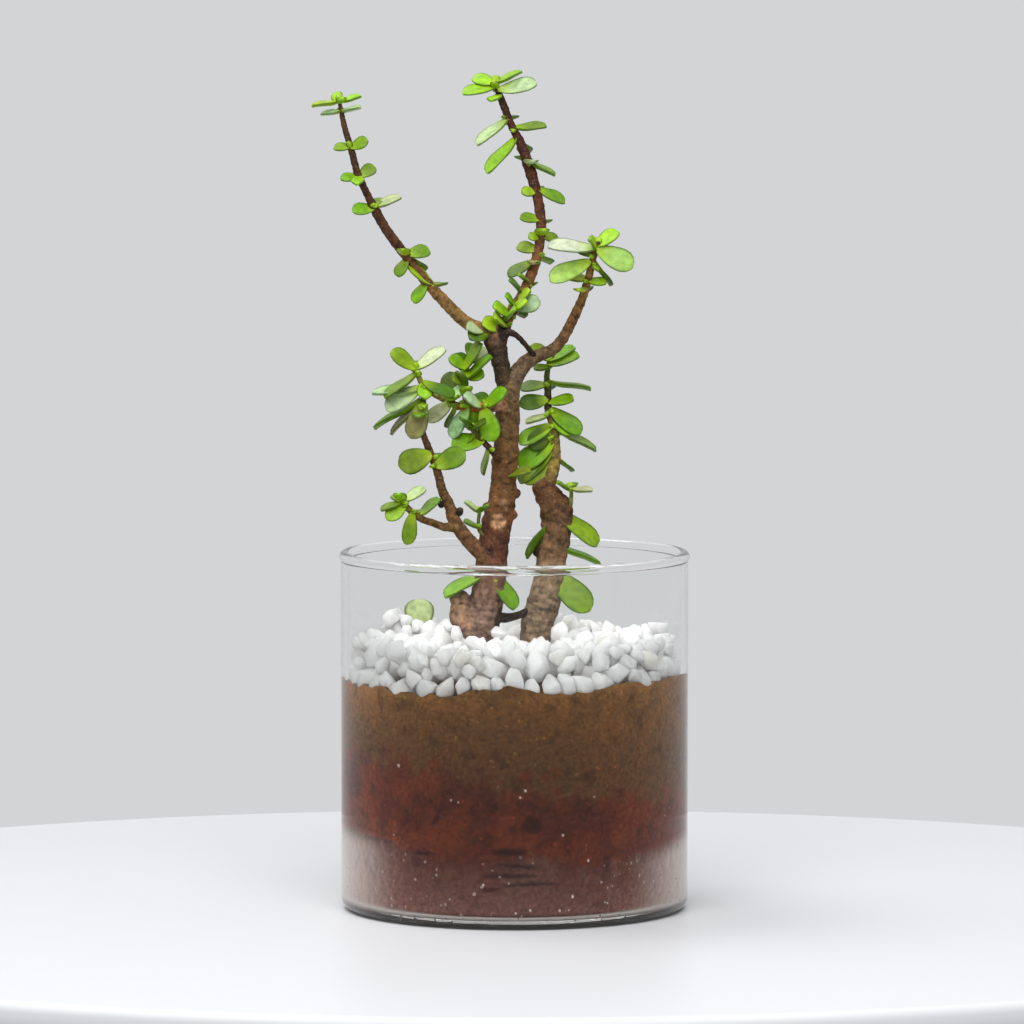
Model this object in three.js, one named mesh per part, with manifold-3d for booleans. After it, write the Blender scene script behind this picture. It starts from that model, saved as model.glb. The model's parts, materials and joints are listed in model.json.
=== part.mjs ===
// A jade bonsai of two trunks, in three layers of soil under white marble chips in a glass cylinder.
// Millimetres, +X right, +Y back, +Z up. The origin is the middle of the glass's underside.

import * as THREE from 'three';
import { mergeVertices } from 'three/addons/utils/BufferGeometryUtils.js';
import Module from 'manifold-3d';

const wasm = await Module();
wasm.setup();

// Driving dimensions.
const GAP = 0.3; // clearance between two pieces that touch
const TURN = 2 * Math.PI;
const GOLDEN_ANGLE = TURN * (1 - 1 / 1.618034);

const GLASS = {
  radius: 75,
  height: 155,
  wall: 3,
  base: 4.7,
  heel: 4.5, // rounding under the outer edge
  corner: 3, // rounding inside the bottom
  beadWidth: 4.4, // the fire-polished rim is a little fatter than the wall
  beadHeight: 5.4,
  sides: 40,
};
const FILL_RADIUS = GLASS.radius - GLASS.wall - 0.4;

// Top faces of the soil layers: mean height, slope to the right, slope to the back, and a ripple.
const SOIL = {
  bottom: { level: 33, right: -2, back: 4, ripple: 1.4, waves: 5, phase: 0.6 },
  middle: { level: 65, right: -9, back: -1.5, ripple: 2, waves: 7, phase: 2.1 },
  top: { level: 102, right: 1, back: 0.5, ripple: 1.3, waves: 9, phase: 1.2 },
};

const CHIPS = {
  size: 7.2, // half of the longest side of the largest chip
  smallest: 0.82, // size of the smallest, as a share of the largest
  flat: [0.72, 0.62], // the least of the two shorter sides, as shares of the longest
  flatRange: 0.2, // and how much more they can be
  count: 68,
  wallCount: 30, // chips that stand against the glass
  wallInset: 10, // the others stay this far inside those
  wallLift: 0.5, // least height of a wall chip's underside over the soil
  level: 111.5, // middle of the top chips
  jitter: 0.8, // how far a chip lies above or below that
  bedDrop: 1.5, // the solid bed ends this far below their middles
  rings: [0, 0.6, 0.95], // where the bed follows its heaps, as shares of its radius
  // Heaps on the bed: [x, y, height, spread].
  heaps: [[-48, 38, 6, 22], [60, 22, 5, 20], [24, 34, 4, 18], [-6, 4, -1.5, 20]],
};

const LEAF = {
  width: 0.62, // of the length
  thickness: 1.8,
  taper: [0.88, 0.42], // share of the width at the middle, and what the tip half gains
  cup: 0.12, // rise of the edges, as a share of the half width
  droop: 0.05, // fall of the tip, as a share of the length
  sides: 4,
  rings: 4,
};
const FALLEN_LEAF = { x: -42, y: 34, width: 12.5, height: 12, lean: 18, from: 135 };
const TRUNK_SIDES = 10;
const FINE_LUMP = 4; // lumps on the trunks with a larger half height get smaller faces

const LOOKS = {
  glass: { color: '#e3ebe8', roughness: 0.04, metalness: 0 },
  bottomSoil: { color: '#75605a', roughness: 0.95, metalness: 0 },
  middleSoil: { color: '#552d23', roughness: 0.95, metalness: 0 },
  topSoil: { color: '#73552d', roughness: 0.95, metalness: 0 },
  marble: { color: '#e9e9e7', roughness: 0.6, metalness: 0 },
  bark: { color: '#6b5140', roughness: 0.85, metalness: 0 },
  leaf: { color: '#6f9e2c', roughness: 0.4, metalness: 0 },
};

// The limbs, each a route of [x, y, z, radius] points from its root to its tip.
const LEFT_TRUNK = [
  [-14.5, -1, 82, 5.2], [-15, -2, 105, 6], [-15, -2, 114.5, 6.7], [-13.5, -3, 124.5, 7.3],
  [-11.5, -3, 136.5, 7.3], [-10, -2.5, 149, 6.8], [-9, -2, 160, 6.5], [-7, -1, 168.5, 6.5],
  [-5.5, 0, 177, 5.8], [-4.5, 1, 187.5, 5.6], [-3.5, 2, 202.5, 5.4], [-3, 3, 214.5, 5.4],
  [-2.5, 3, 225, 4.8],
];
const LEFT_TRUNK_TOP = [
  [-3, 3, 220, 4.3], [-4.5, 3, 227.5, 3.5], [-6, 2, 236, 3.8], [-7.5, 1, 243.5, 4.3],
  [-8, 0, 249, 5.4], [-8, 0, 252.5, 5.6],
];
const RIGHT_TRUNK = [
  [8, 2, 82, 5.2], [8.5, 3, 104.5, 5.8], [9, 3, 114, 6.5], [10.5, 4, 125, 7.2],
  [13, 4, 133.5, 7.1], [15, 5, 143, 6.7], [16, 5, 151.5, 6.4], [17.5, 5, 159.5, 6.3],
  [18.5, 6, 167, 6.7], [18, 6, 172, 7.1], [15.5, 7, 177, 6], [12.5, 7, 181, 4.8],
];
const RIGHT_TRUNK_STUB = [[18, 6, 169, 4], [22.5, 5, 172, 3.6], [26.5, 4, 174, 2.8]];
const BRIDGING_ROOT = [[-10, -2, 127, 2.4], [-4, -1, 126.5, 2], [1.5, 0, 127.5, 1.4]];
const CROSSING_TWIG = [[-3.5, -3, 251, 1.8], [1, -3, 248, 1.3], [5.5, 0, 243, 1.2], [9, 5, 238, 1.4]];

// Lumps on the trunks: [x, y, z, half width, half height]. The first is the cut burr at the foot.
const LEFT_KNOBS = [
  [-21.5, -3, 129.5, 6.5, 9.5], [-11.5, -2, 173.5, 2.4, 2.6], [2, 0, 179.5, 2.4, 2.2],
  [0, -1, 170.5, 2.2, 2.2], [-13, -3, 250.5, 2.6, 2],
];
const RIGHT_KNOBS = [[10, 4, 154.5, 2, 2.6], [9.5, 2, 137, 2, 3], [12, 6, 182, 4.6, 2.4]];

// Leaves, each [station, right, back, up, roll]: where it grows, as a share of its stem's length,
// how far its tip reaches from the stem's middle, and how it is rolled about its own midrib.
const LEFT_TRUNK_LEAVES = [
  [0.44, 11, -7, -14, 20], [0.44, -20, -7, -8, -15],
  [0.73, 11, -8, 4, 25],
];
const RIGHT_TRUNK_LEAVES = [
  [0.58, 19, -10, -6, 50],
  [0.73, 22, 3, -5, 10],
  [0.82, -13, -8, -11, -15], [0.86, 19, -4, -11, 25],
];

// The leafy stems. The collar is the length at the root that belongs to the limb it grows from.
const STEMS = [
  {
    name: 'top_left_stem',
    on: 'left_trunk',
    collar: 7,
    route: [
      [-9.5, -1, 248.5, 3.2], [-15, -2, 251, 3], [-21, -4, 254, 2.8], [-29.5, -9, 262.5, 2.6],
      [-38.5, -13, 272.5, 2.2], [-47.5, -17, 284.5, 2.2], [-53.5, -20, 292.5, 2.1],
      [-58.5, -22, 301, 2.1], [-63, -24, 310, 1.6], [-67, -25, 319, 1.6], [-69.5, -25, 328.5, 1.5],
      [-72.5, -23, 338.5, 1.3], [-74.5, -21, 348, 0.9],
    ],
    leaves: [
      [0.1, -6, -8, 0, 0],
      [0.28, 6, 8, 2, 0], [0.29, -9, -5, 10, -25], [0.3, -6, -3, -9, -25],
      [0.4, 6, 8, -4, 0], [0.41, -6, -3, -9, -25], [0.42, -2, -7, 4, 0], [0.42, 10, 3, 3, 25],
      [0.62, 11, 2, 6, 20], [0.62, -11, -3, 1, -25], [0.63, 4, 7, 4, 0],
      [0.74, -9, -2, 0, -40], [0.74, 8, 2, 5, 25], [0.74, -1, -8, -2, 0], [0.75, 1, 8, 2, 0],
      [0.84, 8, -2, 4, 50], [0.84, -9, 2, 3, -20], [0.85, 1, 8, 1, 0],
      [0.97, 6, -5, 2, 20], [0.97, -9, 4, 0, -15],
      [1, -12, -2, 0, -10], [1, -2, 5, 5, -25], [1, 7, 3, 3, 20],
    ],
  },
  {
    name: 'tall_central_stem',
    on: 'left_trunk',
    collar: 7,
    route: [
      [-5, 1, 248.5, 3], [-3, 3, 255, 2.6], [2.5, 7, 263.5, 2.4], [7, 11, 273, 2.3],
      [10.5, 15, 285, 2.2], [11.5, 18, 296, 2.3], [9.5, 22, 308.5, 2.2], [6.5, 25, 319, 2.6],
      [3, 27, 329, 2.1], [-1.5, 29, 338, 1.7], [-5, 30, 347, 1.7], [-8.5, 31, 355.5, 1.2],
    ],
    leaves: [
      [0.09, -9, -5, 4, -30], [0.09, -2, -5, 5, -35], [0.1, 5, 7, -3, 0], [0.11, 11, -4, 3, 80],
      [0.19, 4, 8, 3, 0], [0.22, -4, -4, 4, -15],
      [0.3, -12, -2, -5, -15], [0.3, -1, -8, 1, 0], [0.32, 6, 9, -2, 0],
      [0.34, -9, 3, 3, -25],
      [0.4, -5, -3, 0, -50], [0.4, 8, 2, -1, 25], [0.4, 1, -7, 4, 0],
      [0.45, 3, 8, 1, 0], [0.46, -9, -2, 2, -20],
      [0.57, -6, -4, 0, -45], [0.57, 13, 3, -4, 20], [0.58, 1, 8, 1, 0],
      [0.68, 12, -2, -4, 5], [0.68, 2, -8, 2, 0], [0.69, -4, 8, 2, 0],
      [0.75, 2, 9, -3, 0], [0.77, -16, -3, -13, -15],
      [0.81, 15, 2, 3, 15],
      [0.85, -18, -3, -9, -20], [0.86, 2, 9, 1, 0],
      [0.95, -4, -7, -1, 0], [0.96, 16, -4, 5, 25], [0.96, 1, 10, 2, 0],
      [0.98, -15, -3, -1, -15], [0.99, -10, 4, 4, -20], [0.99, 11, 3, 7, 5],
    ],
  },
  {
    name: 'upper_right_stem',
    on: 'left_trunk',
    collar: 25,
    route: [
      [-2.5, 3, 221.5, 3.9], [0, 4, 229, 3.9], [5, 5, 236, 3.4], [10.5, 6, 239, 2.8],
      [16.5, 6, 241.5, 2.6], [20.5, 5, 246, 2.4], [25.5, 2, 255.5, 2.2], [29.5, -2, 265, 1.9],
      [32, -6, 274, 1.7], [34, -9, 282.5, 1.5], [36, -10, 288, 1.2],
    ],
    leaves: [
      [0.71, 2, 8, 3, 0], [0.72, -3, -8, 2, 0],
      [0.78, -9, 2, 3, -25], [0.78, 8, -3, 0, 25],
      [0.88, -19, -4, -7, -20], [0.89, 9, 6, -9, 20],
      [0.92, -7, 5, 5, -20], [0.95, -20, -3, 4, -30],
      [0.96, 17, -4, -7, 55], [0.96, -2, -6, 6, -75], [0.97, 9, 3, 8, 30], [0.98, -1, 10, 3, 0],
    ],
  },
  {
    name: 'left_middle_branch',
    on: 'left_trunk',
    collar: 8,
    route: [
      [-3.5, -1, 218.5, 2.8], [-9.5, -6, 217.5, 2.3], [-18, -8, 217.5, 1.8],
      [-24.5, -6, 218, 1.7], [-31.5, -2, 221, 1.3], [-39, 2, 224.5, 1],
    ],
    leaves: [
      [0.28, 6, -6, 8, 35], [0.28, -4, 6, 6, -25], [0.3, 4, -5, -14, 30],
      [0.43, -9, -2, -13, -25], [0.5, 1, 9, 2, 0],
      [0.57, -6, 3, -9, -20],
      [0.65, -10, -6, -7, -30], [0.67, 2, -7, 4, 0],
      [0.75, 4, 4, 12, 20],
    ],
    twig: {
      route: [
        [-20, -8, 217.5, 1.5], [-21.5, -6, 223, 1.2], [-21.5, -3, 229, 1.1],
        [-20.5, -1, 234.5, 1], [-19, 0, 238.5, 0.8],
      ],
      leaves: [
        [0.21, 1, -6, 5, 0],
        [0.38, -2, -5, 8, -20], [0.44, -5, -4, -5, -30], [0.46, 11, -4, 13, 35],
        [0.65, -3, 3, 10, -20], [0.7, 7, -3, 13, 30],
        [0.82, 9, 9, 8, 15], [0.96, 1, 5, 7, 30],
      ],
    },
  },
  {
    name: 'low_left_branch',
    on: 'left_trunk',
    collar: 8.5,
    route: [
      [-10, -5, 150, 3.7], [-16, -8, 156, 3.3], [-22, -11, 163, 3.1], [-26, -13, 169.5, 2.8],
      [-28, -15, 176, 2.3], [-31, -17, 182.5, 2], [-33, -19, 190.5, 1.8], [-36.5, -20, 200, 1.6],
      [-39.5, -19, 208.5, 1.4], [-39, -17, 221, 1.2], [-40, -16, 228.5, 1.2], [-43, -15, 234.5, 1.2],
    ],
    leaves: [
      [0.54, 13, -3, 8, 90], [0.57, 1, 9, 3, 0], [0.6, -16, -4, -5, -70],
      [0.78, -2, -9, 1, 0],
      [0.83, -15, 4, -12, -15], [0.83, -22, 7, -9, -5], [0.84, -5, -5, -15, -55],
      [0.87, -22, 5, 2, -10], [0.88, 2, 9, 3, 0],
      [0.9, -15, 2, -8, -35], [0.92, 2, -7, -5, 0], [0.92, 14, -5, -4, 25],
      [0.96, -15, -4, -8, -15], [0.98, 12, 3, 11, 30],
      [0.99, -11, -4, 9, -40], [0.99, 2, 7, 4, 0],
    ],
    buds: [[-31.5, -18.5, 176.5, 1.5, 1.6], [-23.5, -14.5, 173, 1.6, 2]],
  },
  {
    name: 'low_left_twig',
    on: 'low_left_branch',
    collar: 4.5,
    route: [
      [-25, -13, 166.5, 2.6], [-30, -15, 166.5, 1.8], [-35, -18, 168.5, 1.6],
      [-40, -21, 170.5, 1.5], [-44, -23, 173.5, 1.5], [-48, -25, 178, 1.3],
    ],
    leaves: [
      [0.62, 8, 4, 9, 15], [0.7, 0, 8, 2, 0],
      [0.8, -2, -3, -16, -25],
      [0.92, -8, -5, -5, -45],
      [0.96, 9, 2, 7, 20], [0.97, -10, -2, -2, -15],
      [0.99, -2, -6, 5, 0], [1, -4, 4, 3, -20],
    ],
  },
  {
    name: 'left_trunk_twig',
    on: 'left_trunk',
    collar: 6.5,
    route: [[-6, -2, 193.5, 1.9], [-10, -8, 199, 1.4], [-15, -10, 204.5, 1.3], [-19.5, -12, 210, 1]],
    leaves: [
      [0.39, -2, -5, -12, -30],
      [0.57, -14, -3, -2, -35], [0.6, 1, 8, 3, 0],
      [0.9, 5, -7, 4, 40], [0.94, -4, -7, 5, -25],
    ],
  },
  {
    name: 'left_trunk_shoot',
    on: 'left_trunk',
    collar: 5.5,
    route: [[-11, -4, 160, 1.1], [-15, -6.5, 164, 0.9], [-15.5, -7.5, 168, 0.8], [-15, -8, 172.5, 0.8]],
    leaves: [
      [0.5, -6, -4, 4, -30],
      [0.92, -6, -2, 6, -25], [0.96, 3, -6, 4, 20],
    ],
  },
  {
    name: 'right_tall_stem',
    on: 'right_trunk',
    collar: 7,
    route: [
      [13, 8, 179, 3.5], [15, 9, 185, 2.8], [17, 11, 191, 2.6], [17.5, 13, 199, 2.4],
      [16.5, 15, 209, 2], [14.5, 17, 216, 1.7], [14.5, 18, 222, 1.6], [14, 18, 229, 1.3],
      [15, 18, 235, 1.2],
    ],
    leaves: [
      [0.18, -7, 8, -2, 0],
      [0.28, -7, -9, -8, -25], [0.29, 8, 8, -5, 25], [0.32, -15, -6, -12, -25],
      [0.41, -16, -5, -8, -30],
      [0.45, 2, 10, 2, 0], [0.49, 19, 2, -7, 10],
      [0.52, -14, -7, -6, -30],
      [0.56, 8, -5, -5, 20],
      [0.61, -11, -2, -2, -20], [0.62, 1, 10, 0, 0], [0.65, 15, -5, -9, 35],
      [0.7, 13, -4, 2, 20], [0.72, -12, -6, -1, -50],
      [0.8, 1, 9, 2, 0], [0.82, -12, 2, 0, -25], [0.83, 20, -2, 0, 10],
      [0.97, 12, -3, 6, 15], [0.97, -6, -4, 0, -30], [0.99, 11, 2, 8, 15], [1, -8, 4, 8, -25],
    ],
  },
  {
    name: 'right_trunk_shoot',
    on: 'right_trunk',
    collar: 4.5,
    route: [[24.5, 4, 173, 1.2], [24.5, 3, 178, 0.9], [24.5, 2, 182.5, 0.8]],
    leaves: [
      [0.79, -6, -3, 5, -20], [0.84, 9, -3, 1, 20],
      [0.95, 1, 5, 2, 0],
    ],
  },
];

// The same draws on every run.
function seededRandom(seed) {
  let state = seed;
  return () => {
    state = (state + 0x6d2b79f5) >>> 0;
    let bits = Math.imul(state ^ (state >>> 15), state | 1);
    bits ^= bits + Math.imul(bits ^ (bits >>> 7), bits | 61);
    return ((bits ^ (bits >>> 14)) >>> 0) / 4294967296;
  };
}

// A closed geometry as a solid that can be joined and cut.
function solid(geometry) {
  geometry.deleteAttribute('normal');
  geometry.deleteAttribute('uv');
  const merged = mergeVertices(geometry, 1e-4);
  const corners = [];
  for (let i = 0; i < merged.index.count; i += 3) {
    const [a, b, c] = [0, 1, 2].map((k) => merged.index.getX(i + k));
    if (a !== b && b !== c && c !== a) corners.push(a, b, c);
  }
  return new wasm.Manifold(new wasm.Mesh({
    numProp: 3,
    vertProperties: new Float32Array(merged.attributes.position.array),
    triVerts: new Uint32Array(corners),
  }));
}

// Joins solids, and keeps the one largest body without scraps or sealed hollows.
function fuse(parts) {
  const bodies = parts.reduce((sum, part) => sum.add(part)).decompose();
  return bodies.reduce((best, body) => (body.volume() > best.volume() ? body : best));
}

// Moves every vertex of a geometry to where the rule puts it.
function reshape(geometry, rule) {
  const places = geometry.attributes.position;
  const place = new THREE.Vector3();
  for (let i = 0; i < places.count; i += 1) {
    rule(place.fromBufferAttribute(places, i), i);
    places.setXYZ(i, place.x, place.y, place.z);
  }
  return geometry;
}

// A profile of [radius, z] points turned about the Z axis.
function turned(profile, sides = GLASS.sides) {
  const points = profile.map(([r, z]) => new THREE.Vector2(r, z));
  return new THREE.LatheGeometry(points, sides).rotateX(Math.PI / 2);
}

// Points of an arc in the (radius, z) plane, between two angles in quarter turns.
function arc(r, z, width, height, from, to, steps) {
  return Array.from({ length: steps + 1 }, (_, i) => {
    const angle = (from + ((to - from) * i) / steps) * (TURN / 4);
    return [r + width * Math.cos(angle), z + height * Math.sin(angle)];
  });
}

function glassCylinder() {
  const { radius, height, wall, base, heel, corner, beadWidth, beadHeight } = GLASS;
  const inner = radius - wall;
  return solid(turned([
    [0, 0],
    ...arc(radius - heel, heel, heel, heel, -1, 0, 3),
    ...arc(radius - wall / 2, height - beadHeight / 2, beadWidth / 2, beadHeight / 2, -0.6, 2.6, 6),
    ...arc(inner - corner, base + corner, corner, corner, 0, -1, 2),
    [0, base],
  ]));
}

// Height of a soil layer's top face at a place.
function soilFace(face, x, y) {
  const share = Math.hypot(x, y) / FILL_RADIUS;
  const ripple = face.ripple * share * Math.sin(face.waves * Math.atan2(y, x) + face.phase);
  return face.level + (face.right * x + face.back * y) / FILL_RADIUS + ripple;
}

// The underside of the bottom layer, which follows the rounded corner of the glass.
function soilFloor(x, y) {
  const edge = FILL_RADIUS - GLASS.corner;
  return GLASS.base + Math.max(0, Math.hypot(x, y) - edge);
}

// A round layer between two faces, with a small gap over the one below.
function layer(below, above, rings = [0, FILL_RADIUS - GLASS.corner, FILL_RADIUS]) {
  const profile = [...rings.map((r) => [r, -1]), ...rings.toReversed().map((r) => [r, 1])];
  return reshape(turned(profile), (p) => {
    p.z = p.z < 0 ? below(p.x, p.y) + GAP : above(p.x, p.y);
  });
}

// A tapering limb that can be built whole or between two fractions of its length.
class Limb {
  constructor(route) {
    const points = route.map(([x, y, z]) => new THREE.Vector3(x, y, z));
    this.line = new THREE.CatmullRomCurve3(points, false, 'centripetal');
    this.radii = route.map((point) => point[3]);
    this.length = this.line.getLength();
  }

  radiusAt(share) {
    const along = this.line.getUtoTmapping(share) * (this.radii.length - 1);
    const i = Math.min(Math.floor(along), this.radii.length - 2);
    return THREE.MathUtils.lerp(this.radii[i], this.radii[i + 1], along - i);
  }

  solid({ from = 0, to = 1, sides = 6, step = 8, grow = 0 }) {
    const steps = Math.max(1, Math.round(((to - from) * this.length) / step));
    const frames = [];
    let across = new THREE.Vector3(0, -1, 0);
    for (let i = 0; i <= steps; i += 1) {
      const share = from + ((to - from) * i) / steps;
      const along = this.line.getTangentAt(share);
      across = across.clone().addScaledVector(along, -across.dot(along)).normalize();
      const radius = this.radiusAt(share) + grow;
      frames.push({ place: this.line.getPointAt(share), across, other: across.clone().cross(along), radius });
    }
    const column = new THREE.CylinderGeometry(1, 1, 1, sides, steps);
    return solid(reshape(column, (p) => {
      const { place, across: side, other, radius } = frames[Math.round((p.y + 0.5) * steps)];
      const [x, z] = [p.x * radius, p.z * radius];
      p.copy(place).addScaledVector(side, x).addScaledVector(other, z);
    }));
  }
}

// A fleshy leaf from its root to its tip: an oval blade, widest past its middle, with raised edges.
function leaf(root, reach, roll) {
  const length = reach.length();
  const half = (LEAF.width * length) / 2;
  const along = reach.clone().normalize();
  const up = Math.abs(along.z) > 0.95 ? new THREE.Vector3(0, -1, 0) : new THREE.Vector3(0, 0, 1);
  const across = along.clone().cross(up).normalize().applyAxisAngle(along, roll * THREE.MathUtils.DEG2RAD);
  const face = across.clone().cross(along);
  const ball = new THREE.SphereGeometry(1, LEAF.sides, LEAF.rings);
  return solid(reshape(ball, (p) => {
    const edge = Math.abs(p.x);
    const [x, t] = [p.x * half * (LEAF.taper[0] + LEAF.taper[1] * p.y), p.y];
    const lift = half * LEAF.cup * edge - length * LEAF.droop * t * Math.abs(t);
    const z = (p.z * LEAF.thickness) / 2 + lift;
    p.copy(root).addScaledVector(along, ((t + 1) / 2) * length);
    p.addScaledVector(across, x).addScaledVector(face, z);
  }));
}

function leavesOf(limb, rows) {
  return rows.map(([station, right, back, up, roll]) => (
    leaf(limb.line.getPointAt(station), new THREE.Vector3(right, back, up), roll)));
}

// A rounded lump on a limb.
function knob([x, y, z, halfWidth, halfHeight], grow = 0) {
  const lump = new THREE.IcosahedronGeometry(1, halfHeight > FINE_LUMP ? 1 : 0);
  lump.scale(halfWidth + grow, halfWidth + grow, halfHeight + grow);
  return solid(lump.translate(x, y, z));
}

// The collar of every stem that grows from one limb.
function collarsOn(name) {
  return STEMS.filter((stem) => stem.on === name).map((stem) => {
    const limb = new Limb(stem.route);
    return limb.solid({ to: stem.collar / limb.length });
  });
}

function leafyStem(stem) {
  const limb = new Limb(stem.route);
  const parts = [limb.solid({ from: (stem.collar + GAP) / limb.length })];
  parts.push(...leavesOf(limb, stem.leaves), ...collarsOn(stem.name));
  if (stem.twig) {
    const twig = new Limb(stem.twig.route);
    parts.push(twig.solid({}), ...leavesOf(twig, stem.twig.leaves));
  }
  parts.push(...(stem.buds ?? []).map((bud) => knob(bud)));
  return fuse(parts);
}

// The trunk's own wood near the ground, grown by a clearance where it cuts its hole.
function leftFoot(grow = 0) {
  return [
    new Limb(LEFT_TRUNK).solid({ sides: TRUNK_SIDES, grow }),
    knob(LEFT_KNOBS[0], grow),
  ];
}

function rightFoot(grow = 0) {
  return [new Limb(RIGHT_TRUNK).solid({ sides: TRUNK_SIDES, grow })];
}

function leftTrunk() {
  return fuse([
    ...leftFoot(),
    new Limb(LEFT_TRUNK_TOP).solid({ sides: TRUNK_SIDES, step: 5 }),
    new Limb(BRIDGING_ROOT).solid({}),
    new Limb(CROSSING_TWIG).solid({}),
    ...LEFT_KNOBS.slice(1).map((row) => knob(row)),
    ...collarsOn('left_trunk'),
    ...leavesOf(new Limb(LEFT_TRUNK), LEFT_TRUNK_LEAVES),
  ]);
}

function rightTrunk() {
  return fuse([
    ...rightFoot(),
    new Limb(RIGHT_TRUNK_STUB).solid({ sides: 8, step: 4 }),
    ...RIGHT_KNOBS.map((row) => knob(row)),
    ...collarsOn('right_trunk'),
    ...leavesOf(new Limb(RIGHT_TRUNK), RIGHT_TRUNK_LEAVES),
  ]);
}

// Cuts plain holes for both trunks' feet.
function withHoles(body) {
  return [...leftFoot(GAP), ...rightFoot(GAP)].reduce((rest, foot) => rest.subtract(foot), body);
}

// Height of the top of the chips at a place.
function chipLevel(x, y) {
  return CHIPS.heaps.reduce((sum, [hx, hy, height, spread]) => (
    sum + height * Math.exp(-((x - hx) ** 2 + (y - hy) ** 2) / spread ** 2)), CHIPS.level);
}

// One angular chip, turned at random.
function chip(x, y, z, random) {
  const size = THREE.MathUtils.lerp(CHIPS.smallest, 1, random()) * CHIPS.size;
  const shorter = CHIPS.flat.map((least) => (least + CHIPS.flatRange * random()) * size);
  const stone = new THREE.IcosahedronGeometry(1, 0).scale(size, ...shorter);
  stone.rotateX(TURN * random()).rotateY(TURN * random()).rotateZ(TURN * random());
  return solid(stone.translate(x, y, z));
}

function chipBed() {
  const random = seededRandom(7);
  const reach = FILL_RADIUS - CHIPS.size;
  const soilTop = (x, y) => soilFace(SOIL.top, x, y);
  const bedTop = (x, y) => chipLevel(x, y) - CHIPS.bedDrop;
  const parts = [solid(layer(soilTop, bedTop, CHIPS.rings.map((share) => share * FILL_RADIUS)))];
  for (let i = 0; i < CHIPS.count; i += 1) {
    const distance = (reach - CHIPS.wallInset) * Math.sqrt((i + 0.5) / CHIPS.count);
    const [x, y] = [distance * Math.cos(i * GOLDEN_ANGLE), distance * Math.sin(i * GOLDEN_ANGLE)];
    parts.push(chip(x, y, chipLevel(x, y) + CHIPS.jitter * (2 * random() - 1), random));
  }
  for (let i = 0; i < CHIPS.wallCount; i += 1) {
    const angle = (TURN * (i + 0.5 * random())) / CHIPS.wallCount;
    const [x, y] = [reach * Math.cos(angle), reach * Math.sin(angle)];
    parts.push(chip(x, y, soilTop(x, y) + CHIPS.size + CHIPS.wallLift + random(), random));
  }
  return fuse([withHoles(fuse(parts))]);
}

// A round leaf that stands among the chips, leaning back, lowered until it almost touches them.
function fallenLeaf(chips) {
  const { x, y, width, height, lean, from } = FALLEN_LEAF;
  const at = (z) => {
    const blade = new THREE.SphereGeometry(1, 10, 6);
    blade.scale(width / 2, LEAF.thickness / 2, height / 2);
    blade.rotateX(-lean * THREE.MathUtils.DEG2RAD);
    return solid(blade.translate(x, y, z));
  };
  let z = from;
  while (at(z - GAP).intersect(chips).volume() <= 0) z -= GAP;
  return at(z);
}

const bonsai = new THREE.Group();

function addPiece(name, body, look) {
  const { vertProperties, triVerts } = body.getMesh();
  const geometry = new THREE.BufferGeometry();
  geometry.setAttribute('position', new THREE.BufferAttribute(vertProperties, 3));
  geometry.setIndex(new THREE.BufferAttribute(triVerts, 1));
  geometry.computeVertexNormals();
  const mesh = new THREE.Mesh(geometry, new THREE.MeshStandardMaterial(look));
  mesh.name = name;
  bonsai.add(mesh);
}

const topOf = (face) => (x, y) => soilFace(face, x, y);
const chips = chipBed();
addPiece('glass_cylinder', glassCylinder(), LOOKS.glass);
addPiece('bottom_soil_layer', solid(layer(soilFloor, topOf(SOIL.bottom))), LOOKS.bottomSoil);
addPiece('middle_soil_layer', solid(layer(topOf(SOIL.bottom), topOf(SOIL.middle))), LOOKS.middleSoil);
addPiece('top_soil_layer', withHoles(solid(layer(topOf(SOIL.middle), topOf(SOIL.top)))), LOOKS.topSoil);
addPiece('marble_chips', chips, LOOKS.marble);
addPiece('left_trunk', leftTrunk(), LOOKS.bark);
addPiece('right_trunk', rightTrunk(), LOOKS.bark);
STEMS.forEach((stem) => addPiece(stem.name, leafyStem(stem), LOOKS.leaf));
addPiece('fallen_leaf', fallenLeaf(chips), LOOKS.leaf);

export default bonsai;
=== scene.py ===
"""A small-leaved jade bonsai in a glass cylinder of layered soil, dressed round its solid model.

Tables and functions work in millimetres, and finished meshes are in metres: +X right, +Y back, +Z up,
from the middle of the glass's underside.
"""

import json
import math
import random

import bmesh
import bpy
from bpy.props import FloatProperty, FloatVectorProperty, IntProperty, PointerProperty
from mathutils import Matrix, Quaternion, Vector, kdtree, noise

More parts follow.
